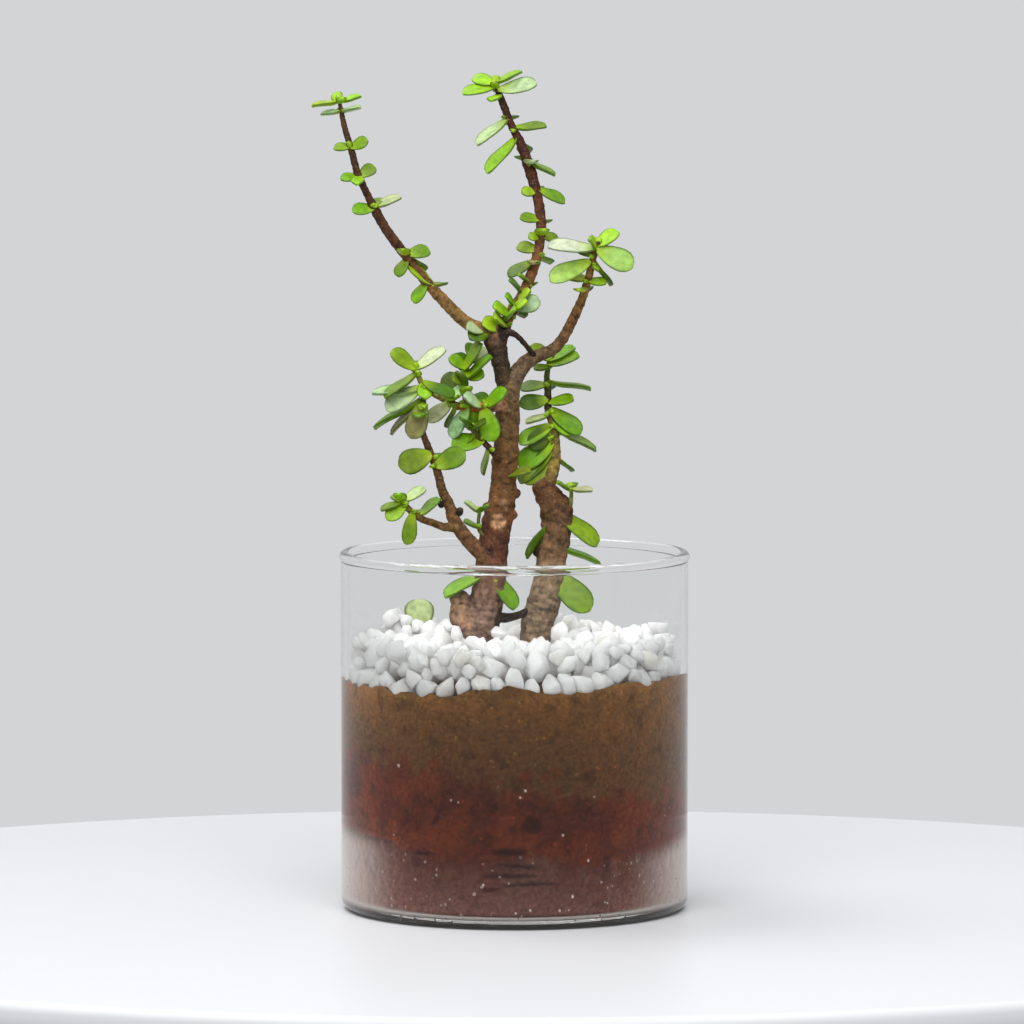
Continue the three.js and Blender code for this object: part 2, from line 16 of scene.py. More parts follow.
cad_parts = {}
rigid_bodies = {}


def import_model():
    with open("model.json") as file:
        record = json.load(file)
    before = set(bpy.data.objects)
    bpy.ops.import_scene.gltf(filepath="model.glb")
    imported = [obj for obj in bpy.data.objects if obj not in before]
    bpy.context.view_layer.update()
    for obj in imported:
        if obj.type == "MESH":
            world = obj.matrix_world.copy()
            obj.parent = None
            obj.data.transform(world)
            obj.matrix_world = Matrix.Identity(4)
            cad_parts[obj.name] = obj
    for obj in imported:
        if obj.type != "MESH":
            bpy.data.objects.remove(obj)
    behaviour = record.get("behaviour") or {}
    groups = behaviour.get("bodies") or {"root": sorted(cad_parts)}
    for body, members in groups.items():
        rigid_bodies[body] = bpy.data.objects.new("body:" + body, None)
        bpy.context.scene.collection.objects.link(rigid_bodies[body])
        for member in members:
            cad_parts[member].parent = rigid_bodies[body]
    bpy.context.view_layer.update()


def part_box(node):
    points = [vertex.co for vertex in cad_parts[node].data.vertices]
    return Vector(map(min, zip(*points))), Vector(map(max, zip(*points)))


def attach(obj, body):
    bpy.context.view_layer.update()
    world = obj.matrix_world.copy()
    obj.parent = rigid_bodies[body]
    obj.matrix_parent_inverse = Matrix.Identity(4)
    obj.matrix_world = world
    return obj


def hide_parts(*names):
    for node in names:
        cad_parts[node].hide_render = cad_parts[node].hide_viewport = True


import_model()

bl_info = {
    "name": "Jade Bonsai in a Glass Cylinder",
    "version": (1, 0, 0),
    "blender": (4, 5, 0),
    "location": "3D View > Sidebar > Bonsai",
    "description": "A jade bonsai of two trunks in layered soil, marble chips and clear glass",
    "category": "Add Mesh",
}

MM = 0.001
UP = Vector((0, 0, 1))
GLASS_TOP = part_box("glass_cylinder")[1].z
FALLEN_LEAF_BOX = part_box("fallen_leaf")


# Limbs in millimetres. A route is (x, y, z, radius) from the root to the tip. Bark is (station, colour),
# where a station is a share of the limb's length. A leaf is (station, right, back, up, roll, tone):
# how far its tip reaches from the limb's middle, and how it is rolled about its own midrib. A leaf that
# isn't of the usual width has a last value, which is multiplied with it.
LIMBS = {
    "left_trunk": {
        "route": [
            (-14.5, -1, 82, 5.2), (-15, -2, 105, 6), (-15, -2, 114.5, 6.7), (-13.5, -3, 124.5, 7.3),
            (-11.5, -3, 136.5, 7.3), (-10, -2.5, 149, 6.8), (-9, -2, 160, 6.5), (-7, -1, 168.5, 6.5),
            (-5.5, 0, 177, 5.8), (-4.5, 1, 187.5, 5.6), (-3.5, 2, 202.5, 5.4), (-3, 3, 214.5, 5.4),
            (-2.5, 3, 225, 4.8),
        ],
        "bark": [
            (0, "#8a725a"), (0.3, "#8d7060"), (0.42, "#7c5842"), (0.5, "#5c3422"), (0.56, "#58321d"),
            (0.62, "#6e4826"), (0.75, "#734c25"), (0.9, "#6f5230"), (1, "#6e5636"),
        ],
        "leaves": [
            (0.44, 11, -7, -14, 20, "m"), (0.44, -20, -7, -8, -15, "b"), (0.73, 11, -8, 4, 25, "m"),
        ],
    },
    "left_trunk_top": {
        "route": [
            (-3, 3, 220, 4.3), (-4.5, 3, 227.5, 3.5), (-6, 2, 236, 3.8), (-7.5, 1, 242, 4.3),
            (-8, 0, 246, 5.2), (-8, 0, 248, 5.4),
        ],
        "bark": [
            (0, "#4c3822"), (0.6, "#40301e"), (0.85, "#4a3426"), (1, "#74553f"),
        ],
        "leaves": [],
    },
    "bridging_root": {
        "route": [
            (-10, -2, 127, 2.6), (-4, -1, 126, 2.1), (1.5, 0, 127, 1.7), (7, 2, 129, 2),
        ],
        "bark": [
            (0, "#35241a"), (1, "#2b1c14"),
        ],
        "leaves": [],
    },
    "crossing_twig": {
        "route": [
            (-6, -2, 249, 1.9), (-2, -3, 249.5, 1.6), (1, -3, 248, 1.3), (5.5, 0, 243, 1.2), (9, 5, 238, 1.4),
        ],
        "bark": [
            (0, "#2c1a11"), (1, "#2a1911"),
        ],
        "leaves": [],
    },
    "right_trunk": {
        "route": [
            (8, 2, 82, 5.2), (8.5, 3, 104.5, 5.8), (9, 3, 114, 6.5), (10.5, 4, 125, 7.2),
            (13, 4, 133.5, 7.1), (15, 5, 143, 6.7), (16, 5, 151.5, 6.4), (17.5, 5, 159.5, 6.3),
            (18.5, 6, 167, 6.7), (18, 6, 172, 7.1), (15.5, 7, 177, 6), (12.5, 7, 181, 4.8),
        ],
        "bark": [
            (0, "#857059"), (0.55, "#8a735b"), (0.7, "#846547"), (0.78, "#765638"), (0.86, "#5f4226"),
            (1, "#6a4424"),
        ],
        "leaves": [
            (0.62, 17.5, -7, -15, 60, "m"), (0.73, 21, 2, -6, 0, "b"), (0.84, -14.5, -6, -14, 38, "d"),
            (0.87, 18, -3, -12, 28, "b"),
        ],
    },
    "right_trunk_stub": {
        "route": [
            (18, 6, 167, 5), (20.5, 5, 170, 4.2), (22.5, 4.5, 172, 3.2),
        ],
        "bark": [
            (0, "#6c4e32"), (0.8, "#6a4a2e"), (1, "#5c3c24"),
        ],
        "leaves": [],
    },
    "top_left_stem": {
        "route": [
            (-9.5, -1, 248.5, 3.2), (-15, -2, 251, 3), (-21, -4, 254, 2.8), (-29.5, -9, 262.5, 2.6),
            (-38.5, -13, 272.5, 2.2), (-47.5, -17, 284.5, 2.2), (-53.5, -20, 292.5, 2.1),
            (-58.5, -22, 301, 2.1), (-63, -24, 310, 1.6), (-67, -25, 319, 1.6), (-69.5, -25, 328.5, 1.5),
            (-72.5, -23, 338.5, 1.3), (-74.5, -21, 348, 0.9),
        ],
        "bark": [
            (0, "#875e31"), (0.12, "#8f6c3a"), (0.3, "#85602e"), (0.45, "#5a3213"), (0.7, "#40200c"),
            (1, "#44300f"),
        ],
        "leaves": [
            (0.03, -7, -8, 2, -50, "p"), (0.02, -7, -9, -2, -40, "d"), (0.28, 6, 8, 2, 0, "m"),
            (0.29, -9, -5, 10, -47, "y"),
            (0.3, -6, -3, -8, -20, "b"), (0.4, 6, 8, -4, 0, "m"), (0.41, -5, -3, -7, -30, "m"),
            (0.42, -2, -7, 4, 0, "y"), (0.42, 10, 3, 3, 47, "m"), (0.62, 11, 2, 6, 14, "p"),
            (0.62, -9.5, -3, 0, -47, "b"), (0.63, 4, 7, 4, 0, "m"), (0.74, -8, -2, 0, -44, "b"),
            (0.74, 6.5, 2, 5, 47, "m"), (0.74, -1, -8, -2, 0, "y"), (0.75, 1, 8, 2, 0, "m"),
            (0.84, 7, -2, 4, 50, "b"), (0.84, -7.5, 2, 1, -40, "b"), (0.85, 1, 8, 1, 0, "y"),
            (0.97, 8, -4, 3, 18, "p"), (0.97, -9, 2, 0, -18, "p"), (1, -12, -2, 0, -10, "y"),
            (1, -2, 3, 5, -47, "y"), (1, 9, 1, 4, 14, "y"), (1, 1, -4, 3, 0, "y"),
        ],
    },
    "tall_central_stem": {
        "route": [
            (-5, 1, 248.5, 3), (-3, 3, 255, 2.6), (2.5, 7, 263.5, 2.4), (7, 11, 273, 2.3),
            (10.5, 15, 285, 2.2), (11.5, 18, 296, 2.3), (9.5, 22, 308.5, 2.2), (6.5, 25, 319, 2.6),
            (3, 27, 329, 2.1), (-1.5, 29, 338, 1.7), (-5, 30, 347, 1.7), (-8.5, 31, 355.5, 1.2),
        ],
        "bark": [
            (0, "#6b461f"), (0.28, "#7d4f24"), (0.5, "#542815"), (0.8, "#421c0d"), (0.93, "#2e170a"),
            (1, "#4b3a12"),
        ],
        "leaves": [
            (0.02, -9, -8, 3, -60, "y"), (0.03, -4, -9, 5, -60, "y"), (0.05, 3, -9, 6, 60, "b"),
            (0.07, -6, -8, 5, -60, "y"), (0.09, 6, -7, 5, 60, "y"), (0.11, -3, -7, 6, -60, "b"),
            (0.13, 5, -6, 6, 60, "y"), (0.17, -5, -5, 7, -45, "d"), (0.1, 5, 7, -3, 0, "d"),
            (0.11, 11, -4, 3, 80, "p"), (0.19, 4, 8, 3, 0, "m"), (0.22, -4, -4, 4, -28, "m"),
            (0.3, -12, -2, -5, -28, "d"), (0.3, -1, -8, 1, 0, "t"), (0.32, 6, 9, -2, 0, "m"),
            (0.34, -9, 3, 3, -47, "m"), (0.4, -5, -3, 0, -50, "y"), (0.4, 8, 2, -1, 47, "m"),
            (0.4, 1, -7, 4, 0, "y"), (0.45, 3, 8, 1, 0, "m"), (0.46, -9, -2, 2, -38, "m"),
            (0.57, -6, -4, 0, -45, "y"), (0.57, 13, 3, -4, 38, "m"), (0.58, 1, 8, 1, 0, "m"),
            (0.68, 12, -2, -4, 5, "m"), (0.68, 2, -8, 2, 0, "p"), (0.69, -4, 8, 2, 0, "m"),
            (0.75, 2, 9, -3, 0, "m"), (0.77, -15, -3, -13, -22, "y"), (0.81, 14, 2, 3, 28, "m"),
            (0.85, -15, -3, -9, -15, "p"), (0.86, 2, 9, 1, 0, "d"), (0.95, -4, -7, -1, 0, "y"),
            (0.96, 16, -4, 5, 47, "p"), (0.96, 1, 10, 2, 0, "m"), (0.98, -15, -3, -1, -28, "y"),
            (0.99, -10, 4, 4, -38, "y"), (0.99, 11, 3, 7, 5, "y"),
        ],
    },
    "upper_right_stem": {
        "route": [
            (-2.5, 3, 221.5, 3.9), (0, 4, 229, 3.9), (5, 5, 236, 3.4), (10.5, 6, 239, 2.8),
            (16.5, 6, 241.5, 2.6), (20.5, 5, 246, 2.4), (25.5, 2, 255.5, 2.2), (29.5, -2, 265, 1.9),
            (32, -6, 274, 1.7), (34, -9, 282.5, 1.5), (36, -10, 288, 1.2),
        ],
        "bark": [
            (0, "#6a5640"), (0.35, "#6a5136"), (0.55, "#704a24"), (0.75, "#8b672f"), (1, "#5d3913"),
        ],
        "leaves": [
            (0.71, 2, 8, 3, 0, "m"), (0.72, -3, -8, 2, 0, "y"), (0.78, -9, 2, 3, -25, "y"),
            (0.78, 8, -3, 0, 25, "y"), (0.88, -18, -5, -6, -45, "l"), (0.89, 9, 6, -9, 20, "d"),
            (0.92, -7, 5, 5, -20, "d"), (0.95, -20, -3, 4, -30, "w"), (0.96, 16, -4, -6.5, 55, "l", 1.15),
            (0.96, -2, -6, 6, -75, "y"), (0.97, 9, 3, 8, 30, "y"), (0.98, -1, 10, 3, 0, "m"),
        ],
    },
    "left_middle_branch": {
        "route": [
            (-3.5, 1.5, 218.5, 3), (-9.5, -5, 217.5, 2.4), (-18, -8, 217.5, 1.8), (-24.5, -6, 218, 1.7),
            (-31.5, -2, 221, 1.3), (-39, 2, 224.5, 1),
        ],
        "bark": [
            (0, "#9c6d44"), (0.15, "#a15925"), (0.45, "#a56728"), (0.75, "#8f792a"), (1, "#7c8e28"),
        ],
        "leaves": [
            (0.28, 8, -7, 8, 62, "b"), (0.28, -4, 6, 6, -25, "d"), (0.3, 4, -6, -14, 45, "b"),
            (0.35, -6, -7, 6, -60, "p"), (0.4, -2, 4, -10, 20, "b"),
            (0.43, -9, -2, -13, -25, "p"), (0.5, 1, 9, 2, 0, "d"), (0.57, -6, 3, -9, -20, "d"),
            (0.65, -10, -6, -7, -30, "p"), (0.67, 2, -7, 4, 0, "y"), (0.75, 4, 4, 12, 20, "d"),
        ],
    },
    "left_middle_twig": {
        "route": [
            (-20, -8, 217.5, 1.5), (-21.5, -6, 223, 1.2), (-21.5, -3, 229, 1.1), (-20.5, -1, 234.5, 1),
            (-19, 0, 238.5, 0.8),
        ],
        "bark": [
            (0, "#8c702a"), (1, "#849a2c"),
        ],
        "leaves": [
            (0.21, 1, -6, 5, 0, "y"), (0.38, -2, -5, 8, -20, "d"), (0.44, -5, -4, -5, -30, "p"),
            (0.46, 11, -4, 13, 35, "b"), (0.65, -3, 3, 10, -20, "d"), (0.7, 6, -5, 13, 60, "b"),
            (0.75, -7, -1, 6, -50, "b"), (0.82, 9, 9, 8, 15, "p"), (0.62, 8, -5, 1, 50, "b"),
            (0.55, -5, -6, 1, -70, "m"), (0.96, 1, 5, 7, 30, "m"),
        ],
    },
    "low_left_branch": {
        "route": [
            (-10, -5, 150, 3.7), (-16, -8, 156, 3.3), (-22, -11, 163, 3.1), (-26, -13, 169.5, 2.8),
            (-28, -15, 176, 2.3), (-31, -17, 182.5, 2), (-33, -19, 190.5, 1.8), (-36.5, -20, 200, 1.6),
            (-39.5, -19, 208.5, 1.4), (-39, -17, 221, 1.2), (-40, -16, 228.5, 1.2), (-43, -15, 234.5, 1.2),
        ],
        "bark": [
            (0, "#84583a"), (0.2, "#785432"), (0.4, "#6b4d2a"), (0.55, "#553517"), (0.72, "#3a2410"),
            (1, "#868427"),
        ],
        "leaves": [
            (0.54, 12.5, -3, 6.5, 90, "m", 1.15), (0.57, 1, 9, 3, 0, "d"),
            (0.6, -13.5, -5, -4.5, -75, "m", 1.3),
            (0.78, -2, -9, 1, 0, "m"), (0.83, -15, 4, -12, -15, "t"), (0.83, -22, 5, -9, -5, "m"),
            (0.84, -5, -5, -15, -55, "t"), (0.87, -22, 5, 2, -10, "p"), (0.88, 2, 9, 3, 0, "m"),
            (0.9, -16, -2, -8, -50, "p"), (0.92, 2, -7, -5, 0, "y"), (0.92, 14, -5, -4, 25, "d"),
            (0.96, -15, -4, -8, -15, "m"), (0.98, 12, 3, 11, 30, "w"), (0.99, -10, -3, 9, -62, "b"),
            (0.99, 2, 7, 4, 0, "m"),
        ],
    },
    "low_left_twig": {
        "route": [
            (-25, -13, 166.5, 2.6), (-30, -15, 166.5, 1.8), (-35, -18, 168.5, 1.6), (-40, -21, 170.5, 1.5),
            (-44, -23, 173.5, 1.5), (-48, -25, 178, 1.3),
        ],
        "bark": [
            (0, "#765a31"), (0.6, "#6b4a22"), (1, "#6c7325"),
        ],
        "leaves": [
            (0.62, 8, 4, 9, 15, "m"), (0.7, 0, 8, 2, 0, "m"), (0.8, -1.5, -3, -14, -25, "m", 0.76),
            (0.92, -8, -5, -5, -45, "y"), (0.96, 9, 2, 7, 20, "p"), (0.97, -10, -2, -2, -15, "m"),
            (0.99, -2, -6, 5, 0, "y"), (1, -4, 4, 3, -20, "m"),
        ],
    },
    "left_trunk_twig": {
        "route": [
            (-6, -2, 193.5, 1.9), (-10, -8, 199, 1.4), (-15, -10, 204.5, 1.3), (-19.5, -12, 210, 1),
        ],
        "bark": [
            (0, "#5b3e1b"), (0.6, "#43260b"), (1, "#6d7324"),
        ],
        "leaves": [
            (0.39, -4, 1, -11, -30, "m"), (0.57, -14, -3, 0, -60, "b"), (0.75, -9, 3, -5, -40, "b"),
            (0.6, 1, 8, 3, 0, "d"),
            (0.9, 5, -7, 4, 40, "d"), (0.94, -4, -7, 5, -25, "d"),
        ],
    },
    "left_trunk_shoot": {
        "route": [
            (-11, -4, 160, 1.1), (-15, -6.5, 164, 0.9), (-15.5, -7.5, 168, 0.8), (-15, -8, 172.5, 0.8),
        ],
        "bark": [
            (0, "#7c5c30"), (1, "#6c8a2c"),
        ],
        "leaves": [
            (0.5, -6, -4, 4, -30, "m"), (0.92, -6, -2, 6, -25, "p"), (0.96, 3, -6, 4, 20, "m"),
        ],
    },
    "right_tall_stem": {
        "route": [
            (12.5, 7, 177.5, 3.8), (14.5, 8, 183.5, 3.4), (17, 10.5, 191, 2.8), (17.5, 13, 199, 2.4),
            (16.5, 15, 209, 2), (14.5, 17, 216, 1.7), (14.5, 18, 222, 1.6), (14, 18, 229, 1.3),
            (15, 18, 235, 1.2),
        ],
        "bark": [
            (0, "#6a4424"), (0.08, "#6f5129"), (0.2, "#856f31"), (0.45, "#817231"), (0.62, "#5b4d1e"),
            (0.75, "#33270b"),
            (1, "#4e621b"),
        ],
        "leaves": [
            (0.18, -7, 8, -2, 0, "d"), (0.26, -13, -3, -8, -45, "m"), (0.29, 8, 8, -5, 25, "m"),
            (0.33, -16, -1, -12, -40, "d"), (0.4, -16, -2, -9, -55, "b"), (0.45, 2, 10, 2, 0, "d"),
            (0.46, -15, 4, -13, -35, "d"), (0.49, 19, 2, -7, 10, "m"), (0.52, -15, -4, -6, -45, "b"),
            (0.54, -10, -5, -9, -70, "d"), (0.56, 8, -5, -5, 20, "b"), (0.61, -11, -2, -2, -20, "p"),
            (0.62, 1, 10, 0, 0, "m"), (0.65, 14, -5, -9, 38, "m"), (0.7, 11, -4, 3, 35, "b"),
            (0.72, -12, -5, -1, -55, "d"), (0.8, 1, 9, 2, 0, "d"), (0.82, -12, 2, 0, -35, "m"),
            (0.83, 19, -2, 0, 5, "m"), (0.97, 13, -4, 6, 35, "b"), (0.97, -6, -4, 0, -30, "m"),
            (0.99, 11, 2, 8, 25, "b"), (1, -8, 4, 8, -25, "b"),
        ],
    },
    "right_trunk_shoot": {
        "route": [
            (23.5, 4, 171, 1.3), (24.5, 3, 178, 0.9), (24.5, 2, 182.5, 0.8),
        ],
        "bark": [
            (0, "#6b5a34"), (1, "#6c8a2c"),
        ],
        "leaves": [
            (0.79, -6, -3, 5, -20, "m"), (0.84, 9, -3, 1, 20, "p"), (0.95, 1, 5, 2, 0, "m"),
        ],
    },
}

# What each node's pieces are made of: the limbs joined in it, its lumps as (x, y, z, half width, half
# height), and the size of the finest detail that its mesh can hold.
WOOD = {
    "left_trunk": {
        "limbs": ["left_trunk", "left_trunk_top", "bridging_root", "crossing_twig"],
        "lumps": [
            (-22, -3, 128, 6.2, 8.5), (-19.5, -5, 120.5, 5.2, 6), (-23.5, -4, 134, 4.2, 4.4),
            (-11.5, -2, 173.5, 2.4, 2.6), (0.8, 0, 179.5, 2, 2), (-0.6, -1, 170.5, 2, 2),
            (-13, -3, 250.5, 2.6, 2),
        ],
        "detail": 0.5,
    },
    "right_trunk": {
        "limbs": ["right_trunk", "right_trunk_stub"],
        "lumps": [(10, 4, 154.5, 2, 2.6), (9.5, 2, 137, 2, 3), (12, 7, 181.5, 4.4, 2.6)],
        "detail": 0.5,
    },
    "top_left_stem": {"limbs": ["top_left_stem"], "detail": 0.32},
    "tall_central_stem": {"limbs": ["tall_central_stem"], "detail": 0.32},
    "upper_right_stem": {"limbs": ["upper_right_stem"], "detail": 0.35},
    "left_middle_branch": {"limbs": ["left_middle_branch", "left_middle_twig"], "detail": 0.28},
    "low_left_branch": {
        "limbs": ["low_left_branch"],
        "lumps": [(-31.5, -18.5, 176.5, 1.5, 1.6), (-23.5, -14.5, 173, 1.6, 2)],
        "detail": 0.32,
    },
    "low_left_twig": {"limbs": ["low_left_twig"], "detail": 0.3},
    "left_trunk_twig": {"limbs": ["left_trunk_twig"], "detail": 0.28},
    "left_trunk_shoot": {"limbs": ["left_trunk_shoot"], "detail": 0.22},
    "right_tall_stem": {"limbs": ["right_tall_stem"], "detail": 0.35},
    "right_trunk_shoot": {"limbs": ["right_trunk_shoot"], "detail": 0.22},
}

# Places where bark has flaked or been cut, as (x, y, z, radius, colour).
BARK_PATCHES = [
    (-7, -9, 168.5, 3.8, "#bd8f66"), (-11, -9, 157, 3.6, "#5c3626"), (-3.5, -8, 176, 3, "#8f6d50"),
    (-24, -9, 133, 4.5, "#b48d69"), (-22, -9.5, 126, 4, "#a98266"), (-27, -5, 129, 3.5, "#8d6a50"),
    (-6, -6, 217.5, 4.2, "#a87c5c"),
    (-31.5, -18.5, 176.5, 2.1, "#1c1310"), (-23.5, -14.5, 173, 2.4, "#1c1310"),
    (9, 2, 154.5, 2.2, "#33241b"),
]

TYPICAL_LEAF = 16  # the length at which a leaf has its set width, because smaller ones are rounder
BUD_SHARE = 0.75  # the share of the leaves with a small new leaf at their root
# Some tones are painted light: b and w are leaves in the light, l is one lit from behind, d is partly painted
# shade, and p and w have a painted sheen.
LEAF_TONES = {
    "y": "#8fb21c",  # young, at the tips
    "b": "#709a0e",  # full-grown, in the light
    "l": "#8fac4c",  # full-grown, seen against the light
    "m": "#678717",
    "d": "#4a6811",  # old, in the shade
    "p": "#a6bc84",  # paler underside, with a painted sheen
    "w": "#b2cba0",  # pale underside, with a painted sheen in full light
    "t": "#86804a",  # withering
}

# The fallen leaf: its colour and width, how deep its root lies among the chips, and how far its root and
# tip keep from the sides and the top of its solid's box.
FALLEN_LEAF = {"tint": "#b9c98c", "width": 1.42, "sunk": 5.5, "inset": 0.5, "below_top": 1.2}

# The glass: its sides when turned, the roundings under its edge and inside its bottom, how far its
# underside's middle stands up, and how far the rim's bead stands out. Its look changes between two depths
# below the rim, and between two heights above the foot, where the thick heel is seen edge-on: there the glass
# is tinted dark, painted shade for the dark heel and for the shadow where the foot stands on the table.
GLASS_SIDES = 160
HEEL_RADIUS, CORNER_RADIUS, HOLLOW, BEAD_BULGE = 5, 3, 0.7, 0.7
RIM_DEPTHS, WALL_GLOSS = (6, 4), 0.25
HEEL_HEIGHTS, HEEL_PAINTED_SHADE = (1.4, 3.2), "#5e6260"
BASE_THICKNESS = 4.7

# The fill inside the glass.
FILL_RADIUS = 71.6
CONTACT_RADIUS = 72.3  # the damp soil clings to the glass, so it is let into the wall a little
BASE_GAP = 0.3  # of air under the soil's middle, which keeps the glass's bottom bright
BASE_CONTACT = (50, 58)  # between these radii the soil comes down to cling to the bottom too

# The soil layers. Each top face has a mean height, slopes to the right and to the back, a ripple, and
# the heights that it has on the front of the glass as (right, height). Tones are (share of the layer's
# height, colour), and mixing is how far a layer blends into the one on it.
SOILS = {
    "bottom": {
        "kind": "grey_leaf_mould", "on": None,
        "level": 33, "right": -2, "back": 4, "ripple": 1.4, "waves": 5, "phase": 0.6,
        "front": [
            (-73, 37), (-51, 35), (-42, 31.3), (-31, 28.8), (-17, 28.7), (12, 31.7), (23, 26.8), (44, 29.1),
            (58, 30), (73, 33.5),
        ],
        "tones": [(0, "#7f564c"), (0.5, "#694038"), (0.85, "#5f362d"), (1, "#5a2d22")],
        "blotch": "#765549", "blotched": 0.4, "mixing": 2.6,
    },
    "middle": {
        "kind": "red_clay_loam", "on": "bottom",
        "level": 65, "right": -9, "back": -1.5, "ripple": 2, "waves": 7, "phase": 2.1,
        "front": [
            (-72, 71), (-55, 73), (-38, 70), (-20, 64.5), (0, 63), (22, 60), (45, 57), (60, 54), (73, 55),
        ],
        "tones": [(0, "#612b1b"), (0.3, "#5a2a1d"), (0.7, "#54291f"), (1, "#5b3522")],
        "blotch": "#7c3a1c", "blotched": 0.6, "mixing": 11,
    },
    "top": {
        "kind": "brown_sifted_compost", "on": "middle",
        "level": 102, "right": 1, "back": 0.5, "ripple": 1.3, "waves": 9, "phase": 1.2,
        "front": [
            (-73, 102), (-56, 101.2), (-36, 101), (-25.5, 99), (-17, 102.5), (-2, 104.5), (11, 101.1),
            (31, 101.2), (44, 103.6), (73, 103.6),
        ],
        "tones": [(0, "#664328"), (0.35, "#6c4929"), (0.7, "#7b532d"), (0.92, "#875c30"), (1, "#8d6235")],
        "blotch": "#5c4428", "blotched": 0.5, "mixing": 1,
    },
}
FRONT_FADE = 40  # the depth, round the glass's middle, over which the heights on the front fade out
PAINTED_SHADE_BETWEEN_CHIPS = 0.7  # painted shade of the soil's top, between the chips
CRACK_DARKNESS, CRACK_DEPTH = 0.75, 0.1  # painted shade and depth of the middle of each crack
PAINTED_REFLECTION_FADE = 10  # the height, round the bottom layer's top, over which the low painted reflection fades out

# Cracks in the soil at the glass, as (right, height, half length, half height), all on the front.
SOIL_CRACKS = [
    (-1.5, 33.2, 10, 2), (-2.5, 23.4, 14, 1.4), (5, 19.4, 15, 1.1), (-38, 31.6, 7, 1.2),
    (-58, 35.5, 9, 0.9), (-10, 17.4, 6, 0.8), (7, 44.5, 6, 4.5), (1, 27.5, 11, 1),
]

# White grains at the glass, as (right, height, radius), all on the front, and how many more lie all round,
# up to which height and between which radii.
WHITE_GRAINS = [
    (-48, 68, 0.9), (4.5, 59.6, 0.7), (2.3, 56.7, 0.6), (-26.3, 55, 0.5), (20, 40.3, 0.7), (30.5, 29, 0.8),
    (-13, 19.3, 0.7), (24, 14, 0.9), (6.5, 8.6, 0.7), (0.5, 7.4, 0.6), (18.7, 8.2, 0.7), (33, 56, 0.5),
]
STRAY_GRAINS, STRAY_HEIGHTS, STRAY_RADII = 28, (6, 66), (0.2, 0.42)

# The bed of chips: its level, its heaps as (x, y, height, spread), and what stands among the chips as
# (x, y, radius).
CHIP_LEVEL = 119.5
CHIP_HEAPS = [
    (-53, 34, 8, 13), (-41, 27, 3, 7), (63, 20, 5, 15), (22, 36, 6, 12), (42, 38, -2, 12), (-6, 4, -2, 20),
    (-6, -13, 7, 6), (19, -7, 6, 6), (-28, -13, 8, 6),
]
FEET = [(-15, -2, 6), (-20, -3, 4), (9.5, 3, 6), (-42, 34, 2)]
CHIP_TRIES, CHIP_MISSES = 14, 60  # places tried for a chip, and chips in a row without one that end a pass
CHIP_LIMIT = 71.8  # radius inside the glass that no chip passes
NESTED = 0.9  # of the height at which two round chips would touch, because real ones are flatter

# How a chip lies, in shares of its radius: its middle over the soil, the drop to its second support at
# which it rolls off, its least way to a foot and to the glass, and how far it stands up over its middle.
CHIP_OVER_SOIL, CHIP_ROLLS, CHIP_TO_FOOT, CHIP_TO_GLASS, CHIP_TOP = 0.62, 0.6, 0.7, 0.9, 0.55

# The lowest row of chips stands against the glass, in hollows that it has pressed into the soil: how deep
# and wide the deepest is, and how far from the glass they end.
WALL_CHIPS, WALL_SEED = 56, 56
DENT_DEPTH, DENT_WIDTH, DENT_REACH = 3.2, 4.2, 12

# The stage, in metres: how far back the table's middle is, its rounded edge, where the camera and the lights
# point, the lights as (name, place, size, share of the key light's power), and the share of the surround's
# light that dull surfaces get.
TABLE_BACK, TABLE_EDGE, TABLE_THICKNESS, TABLE_SIDES = 0.013, 0.004, 0.02, 128
CAMERA_AIM, LIGHT_AIM = Vector((-0.00108, 0, 0.1717)), Vector((0, 0, 0.15))
LIGHTS = [("key_light", (-2.0, 0.95, 4.1), 2.6, 1), ("fill_light", (-0.2, -3.7, 4.2), 5, 4.1)]
SURROUND_ON_DULL = 0.8


def linear(colour):
    """An sRGB hex colour as linear red, green, blue and alpha."""
    shares = [int(colour[i : i + 2], 16) / 255 for i in (1, 3, 5)]
    return (*[s / 12.92 if s <= 0.04045 else ((s + 0.055) / 1.055) ** 2.4 for s in shares], 1.0)


def mixed(a, b, share):
    """A value between two numbers or two colours."""
    if isinstance(a, tuple):
        return tuple(mixed(x, y, share) for x, y in zip(a, b))
    return a + (b - a) * share


def clamped(value, low=0.0, high=1.0):
    return max(low, min(high, value))


def eased(share):
    """Smooths a share between 0 and 1 at both of its ends."""
    share = clamped(share)
    return share * share * (3 - 2 * share)


def falloff(distance, width):
    return math.exp(-((distance / width) ** 2))


def colour_along(points, share):
    """The colour at a share along a list of (share, hex colour)."""
    for (a, first), (b, second) in zip(points, points[1:]):
        if share <= b:
            return mixed(linear(first), linear(second), clamped((share - a) / (b - a)))
    return linear(points[-1][1])


def height_along(points, x):
    """The height at x of a smooth line through a list of (x, height)."""
    for (a, first), (b, second) in zip(points, points[1:]):
        if x <= b:
            return mixed(first, second, eased((x - a) / (b - a)))
    return points[-1][1]


def on_circle(radius, angle):
    """The x and y of a point on a circle round the Z axis."""
    return radius * math.cos(angle), radius * math.sin(angle)


def ring_skin(first, rings, sides):
    """Faces of a closed skin: a pole, rings of points one after another, and a pole that ends them."""
    last = first + 1 + rings * sides
    faces = []
    for k in range(sides):
        after = (k + 1) % sides
        faces.append((first, first + 1 + after, first + 1 + k))
        for a in range(first + 1, last - sides, sides):
            b = a + sides
            faces.append((a + k, a + after, b + after, b + k))
        faces.append((last, last - sides + k, last - sides + after))
    return faces


# Sizes and colours that a user would change.


